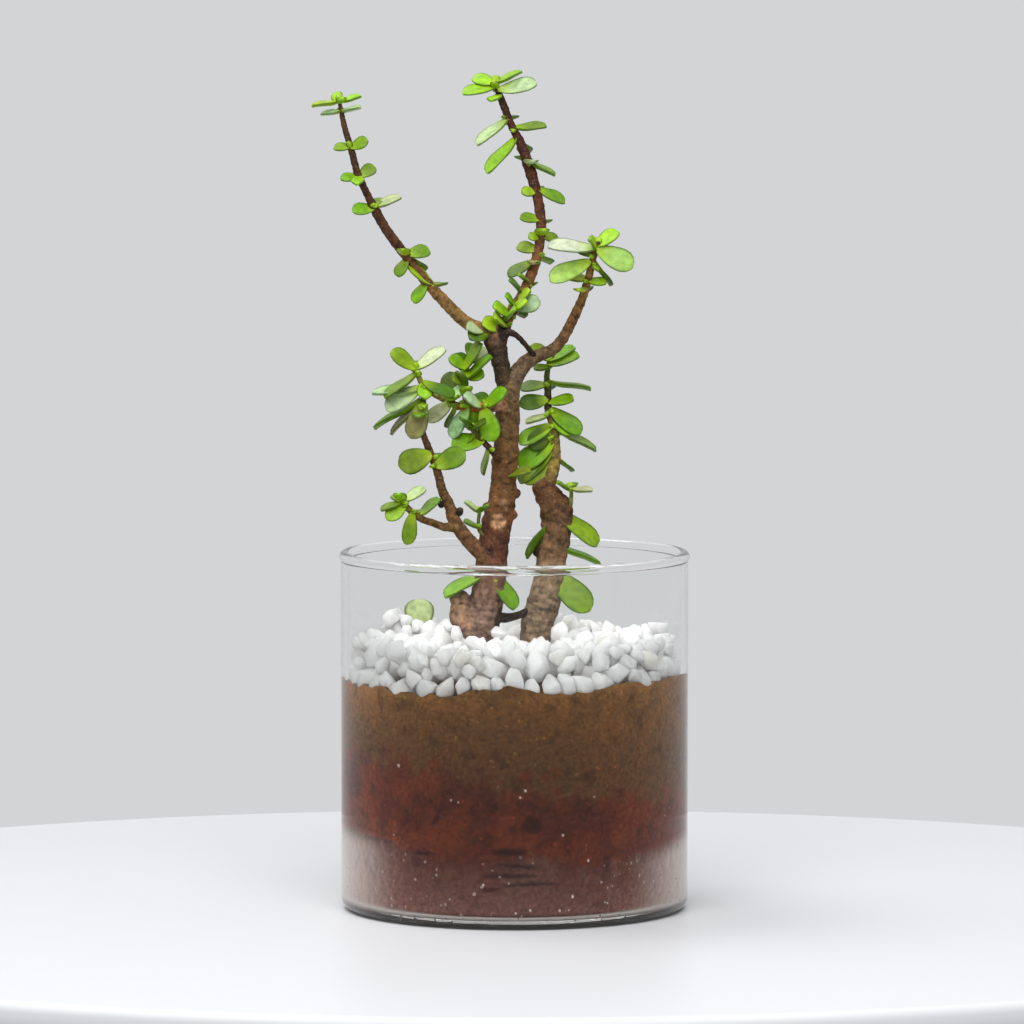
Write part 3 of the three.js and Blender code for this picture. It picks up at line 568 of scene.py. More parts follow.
class BonsaiGlass(bpy.types.PropertyGroup):
    radius: FloatProperty(
        name="Radius", description="Outside radius of the wall", default=0.075, unit="LENGTH"
    )
    height: FloatProperty(name="Height", description="Height of the rim", default=GLASS_TOP, unit="LENGTH")
    wall: FloatProperty(name="Wall", description="Thickness of the wall", default=0.003, unit="LENGTH")
    base: FloatProperty(
        name="Base", description="Thickness of the bottom", default=BASE_THICKNESS * MM, unit="LENGTH"
    )
    bead: FloatProperty(
        name="Bead", description="Thickness of the fire-polished rim", default=0.0044, unit="LENGTH"
    )
    tint: FloatVectorProperty(
        name="Tint", description="Colour of the glass", size=4, default=linear("#fafbfa"), subtype="COLOR"
    )


class BonsaiSoil(bpy.types.PropertyGroup):
    crumb: FloatProperty(
        name="Crumb", description="Size of the crumbs that are pressed together", default=0.005, unit="LENGTH"
    )
    depth: FloatProperty(
        name="Depth", description="Depth of the gaps between the crumbs", default=0.0001, unit="LENGTH"
    )
    density: FloatProperty(
        name="Grains", description="Loose grains on each square metre of soil", default=26000
    )
    seed: IntProperty(name="Seed", description="Draw of the loose grains", default=4)


class BonsaiChips(bpy.types.PropertyGroup):
    smallest: FloatProperty(
        name="Smallest", description="Half length of the smallest chip", default=0.005, unit="LENGTH"
    )
    largest: FloatProperty(
        name="Largest", description="Half length of the largest chip", default=0.008, unit="LENGTH"
    )
    kinds: IntProperty(name="Shapes", description="Number of different chip shapes", default=9)
    seed: IntProperty(name="Seed", description="Draw of the chips' shapes and places", default=11)
    colour: FloatVectorProperty(
        name="Marble", description="Colour of the marble", size=4, default=linear("#fefefe"), subtype="COLOR"
    )


class BonsaiBark(bpy.types.PropertyGroup):
    ring: FloatProperty(
        name="Rings", description="Swelling at each leaf scar, as a share of the radius", default=0.07
    )
    furrow: FloatProperty(
        name="Furrows", description="Depth of the furrows, as a share of the radius", default=0.05
    )
    seed: IntProperty(name="Seed", description="Draw of the leaf scars' places", default=3)


class BonsaiLeaves(bpy.types.PropertyGroup):
    width: FloatProperty(name="Width", description="Share of a leaf's length", default=0.62)
    thickness: FloatProperty(
        name="Thickness", description="Thickness of a leaf's middle", default=0.0019, unit="LENGTH"
    )
    cup: FloatProperty(name="Cup", description="Rise of the edges, as a share of the length", default=0.07)
    droop: FloatProperty(name="Droop", description="Fall of the tip, as a share of the length", default=0.09)
    seed: IntProperty(name="Seed", description="Draw of the leaves' differences", default=8)


class BonsaiStage(bpy.types.PropertyGroup):
    table_width: FloatProperty(
        name="Table width", description="Width of the oval floor", default=0.8, unit="LENGTH"
    )
    table_depth: FloatProperty(
        name="Table depth", description="Depth of the oval floor", default=0.652, unit="LENGTH"
    )
    distance: FloatProperty(
        name="Distance", description="From the camera to the glass", default=3.0, unit="LENGTH"
    )
    view_height: FloatProperty(
        name="View height", description="Height of the camera", default=0.421, unit="LENGTH"
    )
    lens: FloatProperty(name="Lens", description="Focal length", default=245.3, unit="CAMERA")
    key: FloatProperty(
        name="Key light", description="Power of the large soft light", default=86, unit="POWER"
    )
    sky: FloatVectorProperty(
        name="Surround", description="Colour of the even surround", size=4, default=linear("#d3d4d6"),
        subtype="COLOR",
    )


# Nodes and materials.


def set_inputs(tree, node, inputs):
    """Fills a node's inputs, each with a value or with the output that is linked to it."""
    for key, value in inputs.items():
        if isinstance(value, bpy.types.NodeSocket):
            tree.links.new(value, node.inputs[key])
        else:
            node.inputs[key].default_value = value


def add(tree, kind, inputs=None, **settings):
    """Adds a node with its settings and its inputs."""
    node = tree.nodes.new(kind)
    for name, value in settings.items():
        setattr(node, name, value)
    set_inputs(tree, node, inputs or {})
    return node


def new_material(name, *attributes):
    """A material with a Principled surface, and the outputs of the attributes that it reads."""
    material = bpy.data.materials.new(name)
    material.use_nodes = True
    tree = material.node_tree
    tree.nodes.clear()
    surface = add(tree, "ShaderNodeBsdfPrincipled")
    add(tree, "ShaderNodeOutputMaterial", {"Surface": surface.outputs["BSDF"]})
    reads = [add(tree, "ShaderNodeAttribute", attribute_name=key).outputs for key in attributes]
    return material, tree, surface, *reads


def per_mm(size):
    """The scale that gives a noise pattern features of this size in millimetres."""
    return 1 / (size * MM)


def mottled(tree, colour, pattern, between, shades):
    """A colour whose shade goes from the first to the second as a pattern rises between two values."""
    shade = add(tree, "ShaderNodeMapRange", {
        "Value": pattern, "From Min": between[0], "From Max": between[1],
        "To Min": shades[0], "To Max": shades[1],
    }).outputs["Result"]
    return add(tree, "ShaderNodeMix", {
        "Factor": 1.0, "A": colour, "B": shade,
    }, data_type="RGBA", blend_type="MULTIPLY").outputs["Result"]


def overlaid(tree, colour, over, pattern, between, shares=(0.0, 1.0), **settings):
    """A colour over another, whose share follows a pattern in the same way."""
    share = add(tree, "ShaderNodeMapRange", {
        "Value": pattern, "From Min": between[0], "From Max": between[1],
        "To Min": shares[0], "To Max": shares[1],
    }, **settings).outputs["Result"]
    return add(tree, "ShaderNodeMix", {
        "Factor": share, "A": colour, "B": over,
    }, data_type="RGBA").outputs["Result"]


def clear_glass(looks):
    """Soda-lime glass, drawn and fire-polished: clear and smooth, bright at its rim, and tinted dark in its
    heel as painted shade.
    """
    material, tree, surface = new_material("clear_soda_lime_glass")
    place = add(tree, "ShaderNodeTexCoord").outputs["Object"]
    height = add(tree, "ShaderNodeSeparateXYZ", {"Vector": place}).outputs["Z"]
    low, high = [GLASS_TOP - depth * MM for depth in RIM_DEPTHS]
    gloss = add(tree, "ShaderNodeMapRange", {
        "Value": height, "From Min": low, "From Max": high, "To Min": WALL_GLOSS,
    }).outputs["Result"]
    heel = [z * MM for z in HEEL_HEIGHTS]
    # Painted shade: the glass's colour turns dark below the heel's heights.
    tint = overlaid(tree, linear(HEEL_PAINTED_SHADE), tuple(looks.tint), height, heel, interpolation_type="SMOOTHSTEP")
    set_inputs(tree, surface, {
        "Base Color": tint, "Roughness": 0.0, "IOR": 1.5, "Transmission Weight": 1.0, "Specular Tint": gloss,
    })
    return material


def garden_soil(name):
    """Damp sifted soil pressed on glass: dull and mottled, with painted shade in its gaps.

    It has a painted sheen: it is brighter where it is seen slantwise through the wall, and low on the glass a
    pale painted reflection is laid over it there.
    """
    material, tree, surface, tint, hollow, film = new_material(name, "tint", "hollow", "film")
    place = add(tree, "ShaderNodeTexCoord").outputs["Object"]
    slant = add(tree, "ShaderNodeLayerWeight", {"Blend": 0.5}).outputs["Facing"]
    crumbs = add(tree, "ShaderNodeTexNoise", {
        "Vector": place, "Scale": per_mm(1.7), "Detail": 3.0, "Roughness": 0.7,
    }).outputs["Fac"]
    colour = mottled(tree, tint["Color"], crumbs, (0.34, 0.68), (0.61, 1.19))
    # Painted sheen: brighter where the soil is seen slantwise.
    colour = mottled(tree, colour, slant, (0.02, 0.22), (1.0, 1.85))
    # Pale painted reflection, where the soil is seen slantwise and low on the glass.
    pale_painted_reflection = add(tree, "ShaderNodeMapRange", {
        "Value": slant, "From Min": 0.1, "From Max": 0.3, "To Max": film["Fac"],
    }, interpolation_type="SMOOTHSTEP").outputs["Result"]
    # The painted shade darkens the colour, and the pale painted reflection is laid over it.
    for share, over in ((hollow["Fac"], "#1c100c"), (pale_painted_reflection, "#ece0da")):
        colour = add(tree, "ShaderNodeMix", {
            "Factor": share, "A": colour, "B": linear(over),
        }, data_type="RGBA").outputs["Result"]
    bump = add(tree, "ShaderNodeBump", {"Height": crumbs, "Strength": 0.5, "Distance": 0.4 * MM})
    set_inputs(tree, surface, {
        "Base Color": colour, "Roughness": 0.85, "Normal": bump.outputs["Normal"], "Specular IOR Level": 0.35,
    })
    return material


def white_marble(looks):
    """White marble, crushed and washed: sugary, slightly translucent, with faint grey and sandy stains."""
    material, tree, surface, stain = new_material("crushed_white_marble", "stain")
    place = add(tree, "ShaderNodeTexCoord").outputs["Object"]
    veins = add(tree, "ShaderNodeTexNoise", {
        "Vector": place, "Scale": per_mm(6), "Detail": 5.0, "Distortion": 0.8,
    }).outputs["Fac"]
    sugar = add(tree, "ShaderNodeTexNoise", {
        "Vector": place, "Scale": per_mm(0.5), "Detail": 2.0,
    }).outputs["Fac"]
    veined = overlaid(tree, tuple(looks.colour), linear("#d3d6d8"), veins, (0.58, 0.75), (0.0, 0.3))
    stained = add(tree, "ShaderNodeMix", {
        "Factor": stain["Fac"], "A": veined, "B": linear("#e4dbcb"),
    }, data_type="RGBA").outputs["Result"]
    bump = add(tree, "ShaderNodeBump", {"Height": sugar, "Strength": 0.35, "Distance": 0.25 * MM})
    set_inputs(tree, surface, {
        "Base Color": stained, "Roughness": 0.55, "Normal": bump.outputs["Normal"],
        "Subsurface Weight": 0.9, "Subsurface Scale": 8 * MM, "Subsurface Radius": (1.0, 1.0, 0.97),
    })
    return material


def jade_bark():
    """Thin corky bark of a jade plant: dull, ringed by leaf scars, with painted shade in its furrows and
    creases, with pale flakes.
    """
    material, tree, surface, tint, crease = new_material("ringed_jade_bark", "tint", "crease")
    place = add(tree, "ShaderNodeTexCoord").outputs["Object"]
    patches, fine = [
        add(tree, "ShaderNodeTexNoise", {
            "Vector": place, "Scale": per_mm(size), "Detail": detail, "Roughness": roughness,
        }).outputs["Fac"]
        for size, detail, roughness in ((3.2, 5.0, 0.65), (0.9, 3.0, 0.7))
    ]
    shaded = mottled(tree, tint["Color"], patches, (0.34, 0.66), (0.35, 1.36))
    flaked = overlaid(tree, shaded, linear("#b9a283"), fine, (0.58, 0.72), (0.0, 0.42))
    # Painted shade in the furrows, under the leaf scars and in the wrinkles.
    creased = add(tree, "ShaderNodeMix", {
        "Factor": crease["Fac"], "A": flaked, "B": linear("#1d120c"),
    }, data_type="RGBA").outputs["Result"]
    bump = add(tree, "ShaderNodeBump", {"Height": fine, "Strength": 0.6, "Distance": 0.3 * MM})
    set_inputs(tree, surface, {
        "Base Color": creased, "Roughness": 0.8, "Normal": bump.outputs["Normal"], "Specular IOR Level": 0.3,
    })
    return material


def jade_leaf():
    """Fleshy jade leaf in a waxy skin: satin, a little translucent, yellow at its root, dark at its edge."""
    material, tree, surface, tint, blade = new_material("waxy_jade_leaf", "tint", "blade")
    place = add(tree, "ShaderNodeTexCoord").outputs["Object"]
    along = add(tree, "ShaderNodeSeparateXYZ", {"Vector": blade["Vector"]}).outputs
    rim = add(tree, "ShaderNodeMath", {0: along["Z"]}, operation="ABSOLUTE").outputs["Value"]
    patches, pores = [
        add(tree, "ShaderNodeTexNoise", {
            "Vector": place, "Scale": per_mm(size), "Detail": detail,
        }).outputs["Fac"]
        for size, detail in ((3, 3.0), (0.6, 2.0))
    ]
    colour = mottled(tree, tint["Color"], patches, (0.35, 0.65), (0.8, 1.16))
    for over, *way in (
        ("#9db81c", along["Y"], (0.0, 0.5), (0.75, 0.0)),
        ("#36520c", rim, (0.7, 1.0), (0.0, 0.75)),
    ):
        colour = overlaid(tree, colour, linear(over), *way, interpolation_type="SMOOTHSTEP")
    bump = add(tree, "ShaderNodeBump", {"Height": pores, "Strength": 0.2, "Distance": 0.15 * MM})
    set_inputs(tree, surface, {
        "Base Color": colour, "Roughness": 0.42, "Normal": bump.outputs["Normal"], "IOR": 1.45,
        "Specular IOR Level": 0.3,
        "Subsurface Weight": 0.25, "Subsurface Scale": 1.2 * MM, "Subsurface Radius": (0.7, 1.0, 0.1),
    })
    return material


def perlite():
    """Expanded volcanic glass: dull white grains."""
    material, tree, surface = new_material("white_perlite_grain")
    set_inputs(tree, surface, {"Base Color": linear("#cfc2b6"), "Roughness": 0.8})
    return material


def table_lacquer():
    """White lacquer on a flat board: smooth, with a soft sheen."""
    material, tree, surface = new_material("white_lacquered_board")
    set_inputs(tree, surface, {"Base Color": linear("#cfd0d2"), "Roughness": 0.35, "Specular IOR Level": 0.2})
    return material


# Meshes and geometry trees.


def mesh_object(name, vertices, faces):
    """A new smooth object from points in metres."""
    mesh = bpy.data.meshes.new(name)
    mesh.from_pydata(vertices, [], faces)
    mesh.shade_smooth()
    made = bpy.data.objects.new(name, mesh)
    bpy.context.scene.collection.objects.link(made)
    return made


def store(mesh, name, kind, values):
    """Writes one value for each vertex, as a named attribute."""
    attribute = mesh.attributes.new(name, kind, "POINT")
    field = {"FLOAT": "value", "INT": "value", "FLOAT_VECTOR": "vector", "FLOAT_COLOR": "color"}[kind]
    flat = values if field == "value" else [part for value in values for part in value]
    attribute.data.foreach_set(field, flat)


def bake_modifiers(made):
    """Turns what an object's modifiers make into its own plain mesh."""
    graph = bpy.context.evaluated_depsgraph_get()
    mesh = bpy.data.meshes.new_from_object(
        made.evaluated_get(graph), preserve_all_data_layers=True, depsgraph=graph
    )
    made.modifiers.clear()
    old, made.data = made.data, mesh
    bpy.data.meshes.remove(old)
    mesh.name = made.name
    return made


def new_tree(name, reads, **inputs):
    """A geometry tree, its inputs, each (socket type, default), and the attributes that it reads."""
    tree = bpy.data.node_groups.new(name, "GeometryNodeTree")
    for direction in ("OUTPUT", "INPUT"):
        tree.interface.new_socket("Geometry", in_out=direction, socket_type="NodeSocketGeometry")
    for label, (kind, value) in {**inputs, "Material": ("Material", None)}.items():
        socket = tree.interface.new_socket(label, in_out="INPUT", socket_type=f"NodeSocket{kind}")
        if value is not None:
            socket.default_value = value
    read = {
        key: add(tree, "GeometryNodeInputNamedAttribute", {"Name": key}, data_type=kind).outputs["Attribute"]
        for key, kind in reads.items()
    }
    return tree, add(tree, "NodeGroupInput").outputs, read


def end_tree(tree, given, geometry):
    """Gives a tree's real geometry its material, and puts it out."""
    dressed = add(tree, "GeometryNodeSetMaterial", {"Geometry": geometry, "Material": given["Material"]})
    add(tree, "NodeGroupOutput", {"Geometry": dressed.outputs["Geometry"]})
    return tree


def run_tree(made, tree, **values):
    """Runs a geometry tree on an object, with its inputs by name, and keeps the result as a plain mesh."""
    modifier = made.modifiers.new(tree.name, "NODES")
    modifier.node_group = tree
    for item in tree.interface.items_tree:
        if item.in_out == "INPUT" and item.name in values:
            modifier[item.identifier] = values[item.name]
    return bake_modifiers(made)


def dress(made, slot, *nodes, material=None):
    """Gives a finished piece its material, hangs it from the root body and hides the nodes that it stands
    for. The slot is not used.
    """
    if material:
        made.data.materials.clear()
        made.data.materials.append(material)
    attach(made, "root")
    if nodes:
        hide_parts(*nodes)
    return made


def turned(name, profile, sides):
    """A closed profile of (radius, z), from axis to axis, turned about the Z axis."""
    ends = [Vector((0, 0, z)) for _, z in (profile[0], profile[-1])]
    rings = [
        Vector((*on_circle(radius, math.tau * k / sides), z))
        for radius, z in profile[1:-1] for k in range(sides)
    ]
    return mesh_object(name, [ends[0], *rings, ends[1]], ring_skin(0, len(profile) - 2, sides))


def arc(centre_r, centre_z, radius, start, end, steps):
    """Points of an arc in the (radius, z) plane, between two angles in quarter turns."""
    angles = [mixed(start, end, i / steps) * math.tau / 4 for i in range(steps + 1)]
    return [(centre_r + radius * math.cos(a), centre_z + radius * math.sin(a)) for a in angles]


def glass_profile(looks):
    """The glass's section as (radius, z), from the middle of its underside to the middle of its inside."""
    radius, height, wall, base, bead = [
        value / MM for value in (looks.radius, looks.height, looks.wall, looks.base, looks.bead)
    ]
    inner, bead = radius - wall, bead / 2
    bead_middle, bead_foot = radius + BEAD_BULGE - bead, height - bead * 1.8
    meeting = math.acos((radius - bead_middle) / bead) / (math.tau / 4)  # of the bead with the wall
    foot = radius - HEEL_RADIUS
    rows = [0, 0.006, 0.02, 0.06, *[i / 24 for i in range(3, 22)], 0.94, 0.98, 0.994, 1]
    return [
        (0, HOLLOW), (radius * 0.55, HOLLOW), (foot - 8, HOLLOW / 2), (foot - 3, 0),
        *arc(foot, HEEL_RADIUS, HEEL_RADIUS, -1, 0, 10),
        *[(radius, mixed(HEEL_RADIUS + 0.3, bead_foot - 0.5, share)) for share in rows],
        *arc(bead_middle, height - bead, bead, -meeting, 2 + meeting, 28),
        *[(inner, mixed(bead_foot - 0.5, base + CORNER_RADIUS + 0.3, share)) for share in rows],
        *arc(inner - CORNER_RADIUS, base + CORNER_RADIUS, CORNER_RADIUS, 0, -1, 8),
        (inner - CORNER_RADIUS - 2, base), (inner * 0.5, base), (0, base),
    ]


# Limbs and their surface. All of this is in millimetres.


class Limb:
    """A round limb through the points of a route, sampled every STEP millimetres or so."""

    STEP = 0.5
    SIDES = 14
    DOME = [(0.5, 0.87), (0.85, 0.5)]  # rings of the round ends, how far out and how wide, in radii

    def __init__(self, name):
        row = LIMBS[name]
        self.bark = row["bark"]
        self.leaves = row["leaves"]
        self.points, self.radii = [], []
        route = [Vector(point[:3]) for point in row["route"]]
        widths = [point[3] for point in row["route"]]
        ends = [2 * route[0] - route[1], *route, 2 * route[-1] - route[-2]]
        for i in range(len(route) - 1):
            steps = max(2, round((route[i + 1] - route[i]).length / self.STEP))
            for k in range(steps + (i == len(route) - 2)):
                share = k / steps
                self.points.append(self.between(*ends[i : i + 4], share))
                self.radii.append(mixed(widths[i], widths[i + 1], mixed(share, eased(share), 0.5)))
        self.reached = [0.0]
        for a, b in zip(self.points, self.points[1:]):
            self.reached.append(self.reached[-1] + (b - a).length)
        self.length = self.reached[-1]
        self.frames = self.carried_frames()

    @staticmethod
    def between(p0, p1, p2, p3, share):
        """A point on the smooth curve from p1 to p2 (centripetal Catmull-Rom)."""
        d0, d1, d2 = [math.sqrt((b - a).length) for a, b in ((p0, p1), (p1, p2), (p2, p3))]
        leave = (p1 - p0) / d0 - (p2 - p0) / (d0 + d1) + (p2 - p1) / d1
        arrive = (p2 - p1) / d1 - (p3 - p1) / (d1 + d2) + (p3 - p2) / d2
        square, cube = share**2, share**3
        return (
            p1 * (2 * cube - 3 * square + 1)
            + leave * d1 * (cube - 2 * square + share)
            + p2 * (3 * square - 2 * cube)
            + arrive * d1 * (cube - square)
        )

    def carried_frames(self):
        """For each sample its tangent and two directions across it, which never twist."""
        around = [self.points[0], *self.points, self.points[-1]]
        tangents = [(after - before).normalized() for before, after in zip(around, around[2:])]
        side = Vector((1, 0.2, 0)).cross(tangents[0]).normalized()
        frames = []
        for tangent in tangents:
            side = (side - tangent * side.dot(tangent)).normalized()
            frames.append((tangent, side, tangent.cross(side)))
        return frames

    def nearest(self, station):
        """The number of the sample at a share of the limb's length."""
        target = station * self.length
        return min(range(len(self.reached)), key=lambda i: abs(self.reached[i] - target))

    def tube(self, vertices, faces):
        """Adds the limb's round tube, with domed ends, to lists of points and faces."""
        first, last = len(vertices), len(self.points) - 1
        rings = [(0, wide, -out) for out, wide in reversed(self.DOME)]
        rings += [(i, 1, 0) for i in range(last + 1)]
        rings += [(last, wide, out) for out, wide in self.DOME]
        middles = [self.points[i] + self.frames[i][0] * out * self.radii[i] for i, _, out in rings]
        vertices.append(middles[0])
        for (i, wide, _), middle in zip(rings, middles):
            _, side, up = self.frames[i]
            for k in range(self.SIDES):
                across, over = on_circle(1, math.tau * k / self.SIDES)
                vertices.append(middle + (side * across + up * over) * (self.radii[i] * wide))
        vertices.append(middles[-1])
        faces.extend(ring_skin(first, len(rings), self.SIDES))


def ball(vertices, faces, middle, half_width, half_height, rings=8, sides=12):
    """Adds a closed round lump to lists of points and faces."""
    faces.extend(ring_skin(len(vertices), rings - 1, sides))
    vertices.append(middle - UP * half_height)
    for i in range(1, rings):
        polar = math.pi * i / rings
        for k in range(sides):
            across = Vector((*on_circle(1, math.tau * k / sides), 0)) * math.sin(polar) * half_width
            vertices.append(middle + across - UP * math.cos(polar) * half_height)
    vertices.append(middle + UP * half_height)


class BarkRelief:
    """Leaf scars, furrows, painted shade and colour on the limbs of one piece. Depths are shares of a limb's
    radius.
    """

    HITS = 8  # samples to choose from, because a thick limb's middle may lie further off than a thin one's
    SCAR_GAP = 2.2  # the least way between two scars
    TILT = 0.5  # of a scar's ring
    LUMPS, WRINKLES = 0.07, 0.035
    CREASE_DEPTH = 0.12  # in millimetres

    def __init__(self, limbs, looks):
        self.looks = looks
        self.samples = [(limb, i) for limb in limbs for i in range(len(limb.points))]
        self.tree = kdtree.KDTree(len(self.samples))
        for number, (limb, i) in enumerate(self.samples):
            self.tree.insert(limb.points[i], number)
        self.tree.balance()
        draw = random.Random(looks.seed)
        self.scars = {}
        for limb in limbs:
            at, marks = 0.0, []
            while at < limb.length:
                radius = limb.radii[limb.nearest(at / limb.length)]
                at += self.SCAR_GAP + radius * draw.uniform(0.8, 1.7)
                marks.append((at, draw.uniform(0, math.tau), draw.uniform(0.5, 1.3)))
            self.scars[limb] = marks

    def place(self, point):
        """The limb whose surface is nearest, its radius there, the way along it and the angle round it."""
        found = self.tree.find_n(point, self.HITS)
        hits = [(distance, *self.samples[number]) for _, number, distance in found]
        _, limb, i = min(hits, key=lambda hit: hit[0] - hit[1].radii[hit[2]])
        tangent, side, up = limb.frames[i]
        out = point - limb.points[i]
        return limb, limb.radii[i], limb.reached[i] + out.dot(tangent), math.atan2(out.dot(up), out.dot(side))

    def at(self, point):
        """How far the surface moves out, its painted shade in furrows, creases and wrinkles, and its colour,
        at a point.
        """
        limb, radius, along, angle = self.place(point)
        swell, crease = 0.0, 0.0
        for mark, phase, strength in self.scars[limb]:
            away = along - mark + self.TILT * radius * math.sin(angle + phase)
            if abs(away) < radius + 2:
                swell += strength * falloff(away, 0.22 * radius + 0.45)
                crease = max(crease, strength * falloff(away + 0.3 * radius + 0.5, 0.3))
        ridge = noise.noise(Vector((*on_circle(1.9, angle), along / 7)) * 1.1) * 1.6
        furrow = clamped(1 - abs(ridge) * 5) * clamped(radius / 4)
        lumps = noise.noise(point / (0.9 * radius + 1)) * 0.75 + noise.noise(point / 1.3) * 0.28
        wrinkle = noise.noise(Vector((*on_circle(1.3, angle), along * 0.75)))
        swelling = self.looks.ring * swell - self.looks.furrow * furrow
        out = radius * (swelling + self.LUMPS * lumps + self.WRINKLES * wrinkle) - self.CREASE_DEPTH * crease
        colour = colour_along(limb.bark, clamped(along / limb.length))
        for x, y, z, reach, patch in BARK_PATCHES:
            away = (point - Vector((x, y, z))).length + 1.6 * noise.noise(point / 2.2)
            if away < reach * 1.3:
                colour = mixed(colour, linear(patch), 1 - eased((away / reach - 0.7) / 0.6))
        # Painted shade: darker in the furrows, in the crease under each scar and in the wrinkles' hollows.
        dark = clamped(0.35 * furrow + 0.5 * crease * (0.6 + noise.noise(point / 2.5)) - 0.7 * wrinkle)
        return out, dark, colour


def bark_of(node, looks, material):
    """The bark of one node: its limbs and lumps grown into one skin, and then scarred and furrowed."""
    row = WOOD[node]
    limbs = [Limb(name) for name in row["limbs"]]
    vertices, faces = [], []
    for limb in limbs:
        limb.tube(vertices, faces)
    for x, y, z, half_width, half_height in row.get("lumps", []):
        ball(vertices, faces, Vector((x, y, z)), half_width, half_height)
    made = mesh_object(f"{node}_bark", vertices, faces)
    skin = made.modifiers.new("skin", "REMESH")
    skin.mode, skin.voxel_size, skin.use_smooth_shade = "VOXEL", row["detail"], True
    soften = made.modifiers.new("soften", "SMOOTH")
    soften.factor, soften.iterations = 0.6, 4
    bake_modifiers(made)
    relief = BarkRelief(limbs, looks)
    painted_shades, colours = [], []
    for vertex, normal in zip(made.data.vertices, [v.normal.copy() for v in made.data.vertices]):
        out, dark, colour = relief.at(vertex.co)
        vertex.co = (vertex.co + normal * out) * MM
        painted_shades.append(dark)
        colours.append(colour)
    store(made.data, "crease", "FLOAT", painted_shades)
    store(made.data, "tint", "FLOAT_COLOR", colours)
    return dress(made, "bark", node, material=material)


# Leaves.


# What the leaf tree reads from each leaf's point.
LEAF_READS = {"turn": "FLOAT_VECTOR", "size": "FLOAT_VECTOR", "face": "FLOAT_VECTOR", "bend": "FLOAT"}


def leaf_pattern(rings=10, sides=12):
    """A leaf one long, and one to each side and face: obovate, with a lens for a section."""
    vertices, blade = [Vector((0, 0, 0))], [(0, 0, 0)]
    for i in range(1, rings):
        share = (1 - math.cos(math.pi * i / rings)) / 2
        half = math.sqrt(1 - abs(2 * share - 1) ** 2.2) * (0.92 + 0.3 * (2 * share - 1))
        for k in range(sides):
            side, face = on_circle(1, math.tau * k / sides)
            plump = face * math.sqrt(math.sin(math.pi * mixed(share, 0.5, 0.25)))
            vertices.append(Vector((side * half, share, plump)))
            blade.append((side, share, side))
    vertices.append(Vector((0, 1, 0)))
    blade.append((0, 1, 1))
    faces = [tuple(reversed(face)) for face in ring_skin(0, rings - 1, sides)]
    made = mesh_object("leaf_pattern", vertices, faces)
    store(made.data, "blade", "FLOAT_VECTOR", blade)
    return made


def leaf_spray_tree():
    """Sets a leaf on each point, as its attributes say, and then cups it, lets it droop and dimples it."""
    tree, given, read = new_tree(
        "leaf_spray", {**LEAF_READS, "blade": "FLOAT_VECTOR"},
        Leaf=("Object", None), Cup=("Float", 0.07), Droop=("Float", 0.09), Dimples=("Float", 0.0003),
    )
    leaf = add(tree, "GeometryNodeObjectInfo", {"Object": given["Leaf"]}).outputs["Geometry"]
    placed = add(tree, "GeometryNodeInstanceOnPoints", {
        "Points": given["Geometry"], "Instance": leaf, "Rotation": read["turn"], "Scale": read["size"],
    })
    leaves = add(tree, "GeometryNodeRealizeInstances", {"Geometry": placed.outputs["Instances"]})
    blade = add(tree, "ShaderNodeSeparateXYZ", {"Vector": read["blade"]}).outputs
    place = add(tree, "GeometryNodeInputPosition").outputs["Position"]
    ripples = add(tree, "ShaderNodeTexNoise", {
        "Vector": place, "Scale": per_mm(5), "Detail": 1.0,
    }).outputs["Fac"]
    values = {
        "across": blade["X"], "along": blade["Y"], "bend": read["bend"], "ripples": ripples,
        "cup": given["Cup"], "droop": given["Droop"], "dimples": given["Dimples"],
    }
    for name, operation, *terms in (
        ("edge", "MULTIPLY", "across", "across"),
        ("cupped", "MULTIPLY", "edge", "cup"),
        ("ahead", "MULTIPLY_ADD", "along", 2.0, -1.0),
        ("away", "ABSOLUTE", "ahead"),
        ("tip", "MULTIPLY", "ahead", "away"),
        ("drooped", "MULTIPLY", "tip", "droop"),
        ("shape", "SUBTRACT", "cupped", "drooped"),
        ("rise", "MULTIPLY", "shape", "bend"),
        ("ripple", "SUBTRACT", "ripples", 0.5),
        ("dimple", "MULTIPLY", "ripple", "dimples"),
    ):
        inputs = {i: values.get(term, term) for i, term in enumerate(terms)}
        values[name] = add(tree, "ShaderNodeMath", inputs, operation=operation).outputs["Value"]
    normal = add(tree, "GeometryNodeInputNormal").outputs["Normal"]
    bent, dimpled = [
        add(tree, "ShaderNodeVectorMath", {0: way, "Scale": values[by]}, operation="SCALE").outputs["Vector"]
        for way, by in ((read["face"], "rise"), (normal, "dimple"))
    ]
    offset = add(tree, "ShaderNodeVectorMath", {0: bent, 1: dimpled}).outputs["Vector"]
    shaped = add(tree, "GeometryNodeSetPosition", {"Geometry": leaves.outputs["Geometry"], "Offset": offset})
    return end_tree(tree, given, shaped.outputs["Geometry"])


def leaf_frame(reach, roll):
    """A leaf's directions across, along and out of its face, from its tip's place and its roll in degrees."""
    along = reach.normalized()
    up = Vector((0, -1, 0)) if abs(along.z) > 0.95 else UP
    across = Quaternion(along, math.radians(roll)) @ along.cross(up).normalized()
    return Matrix((across, along, across.cross(along))).transposed()


def leaf_point(root, reach, roll, tint, looks, width=1.0):
    """What the leaf tree needs for one leaf, in metres."""
    frame_of_leaf = leaf_frame(reach, roll)
    length = reach.length * MM
    width *= looks.width * (TYPICAL_LEAF / reach.length) ** 0.4
    return {
        "root": root * MM,
        "turn": frame_of_leaf.to_euler(),
        "size": (length * width / 2, length, looks.thickness / 2),
        "face": frame_of_leaf.col[2],
        "bend": length,
        "tint": tint,
    }


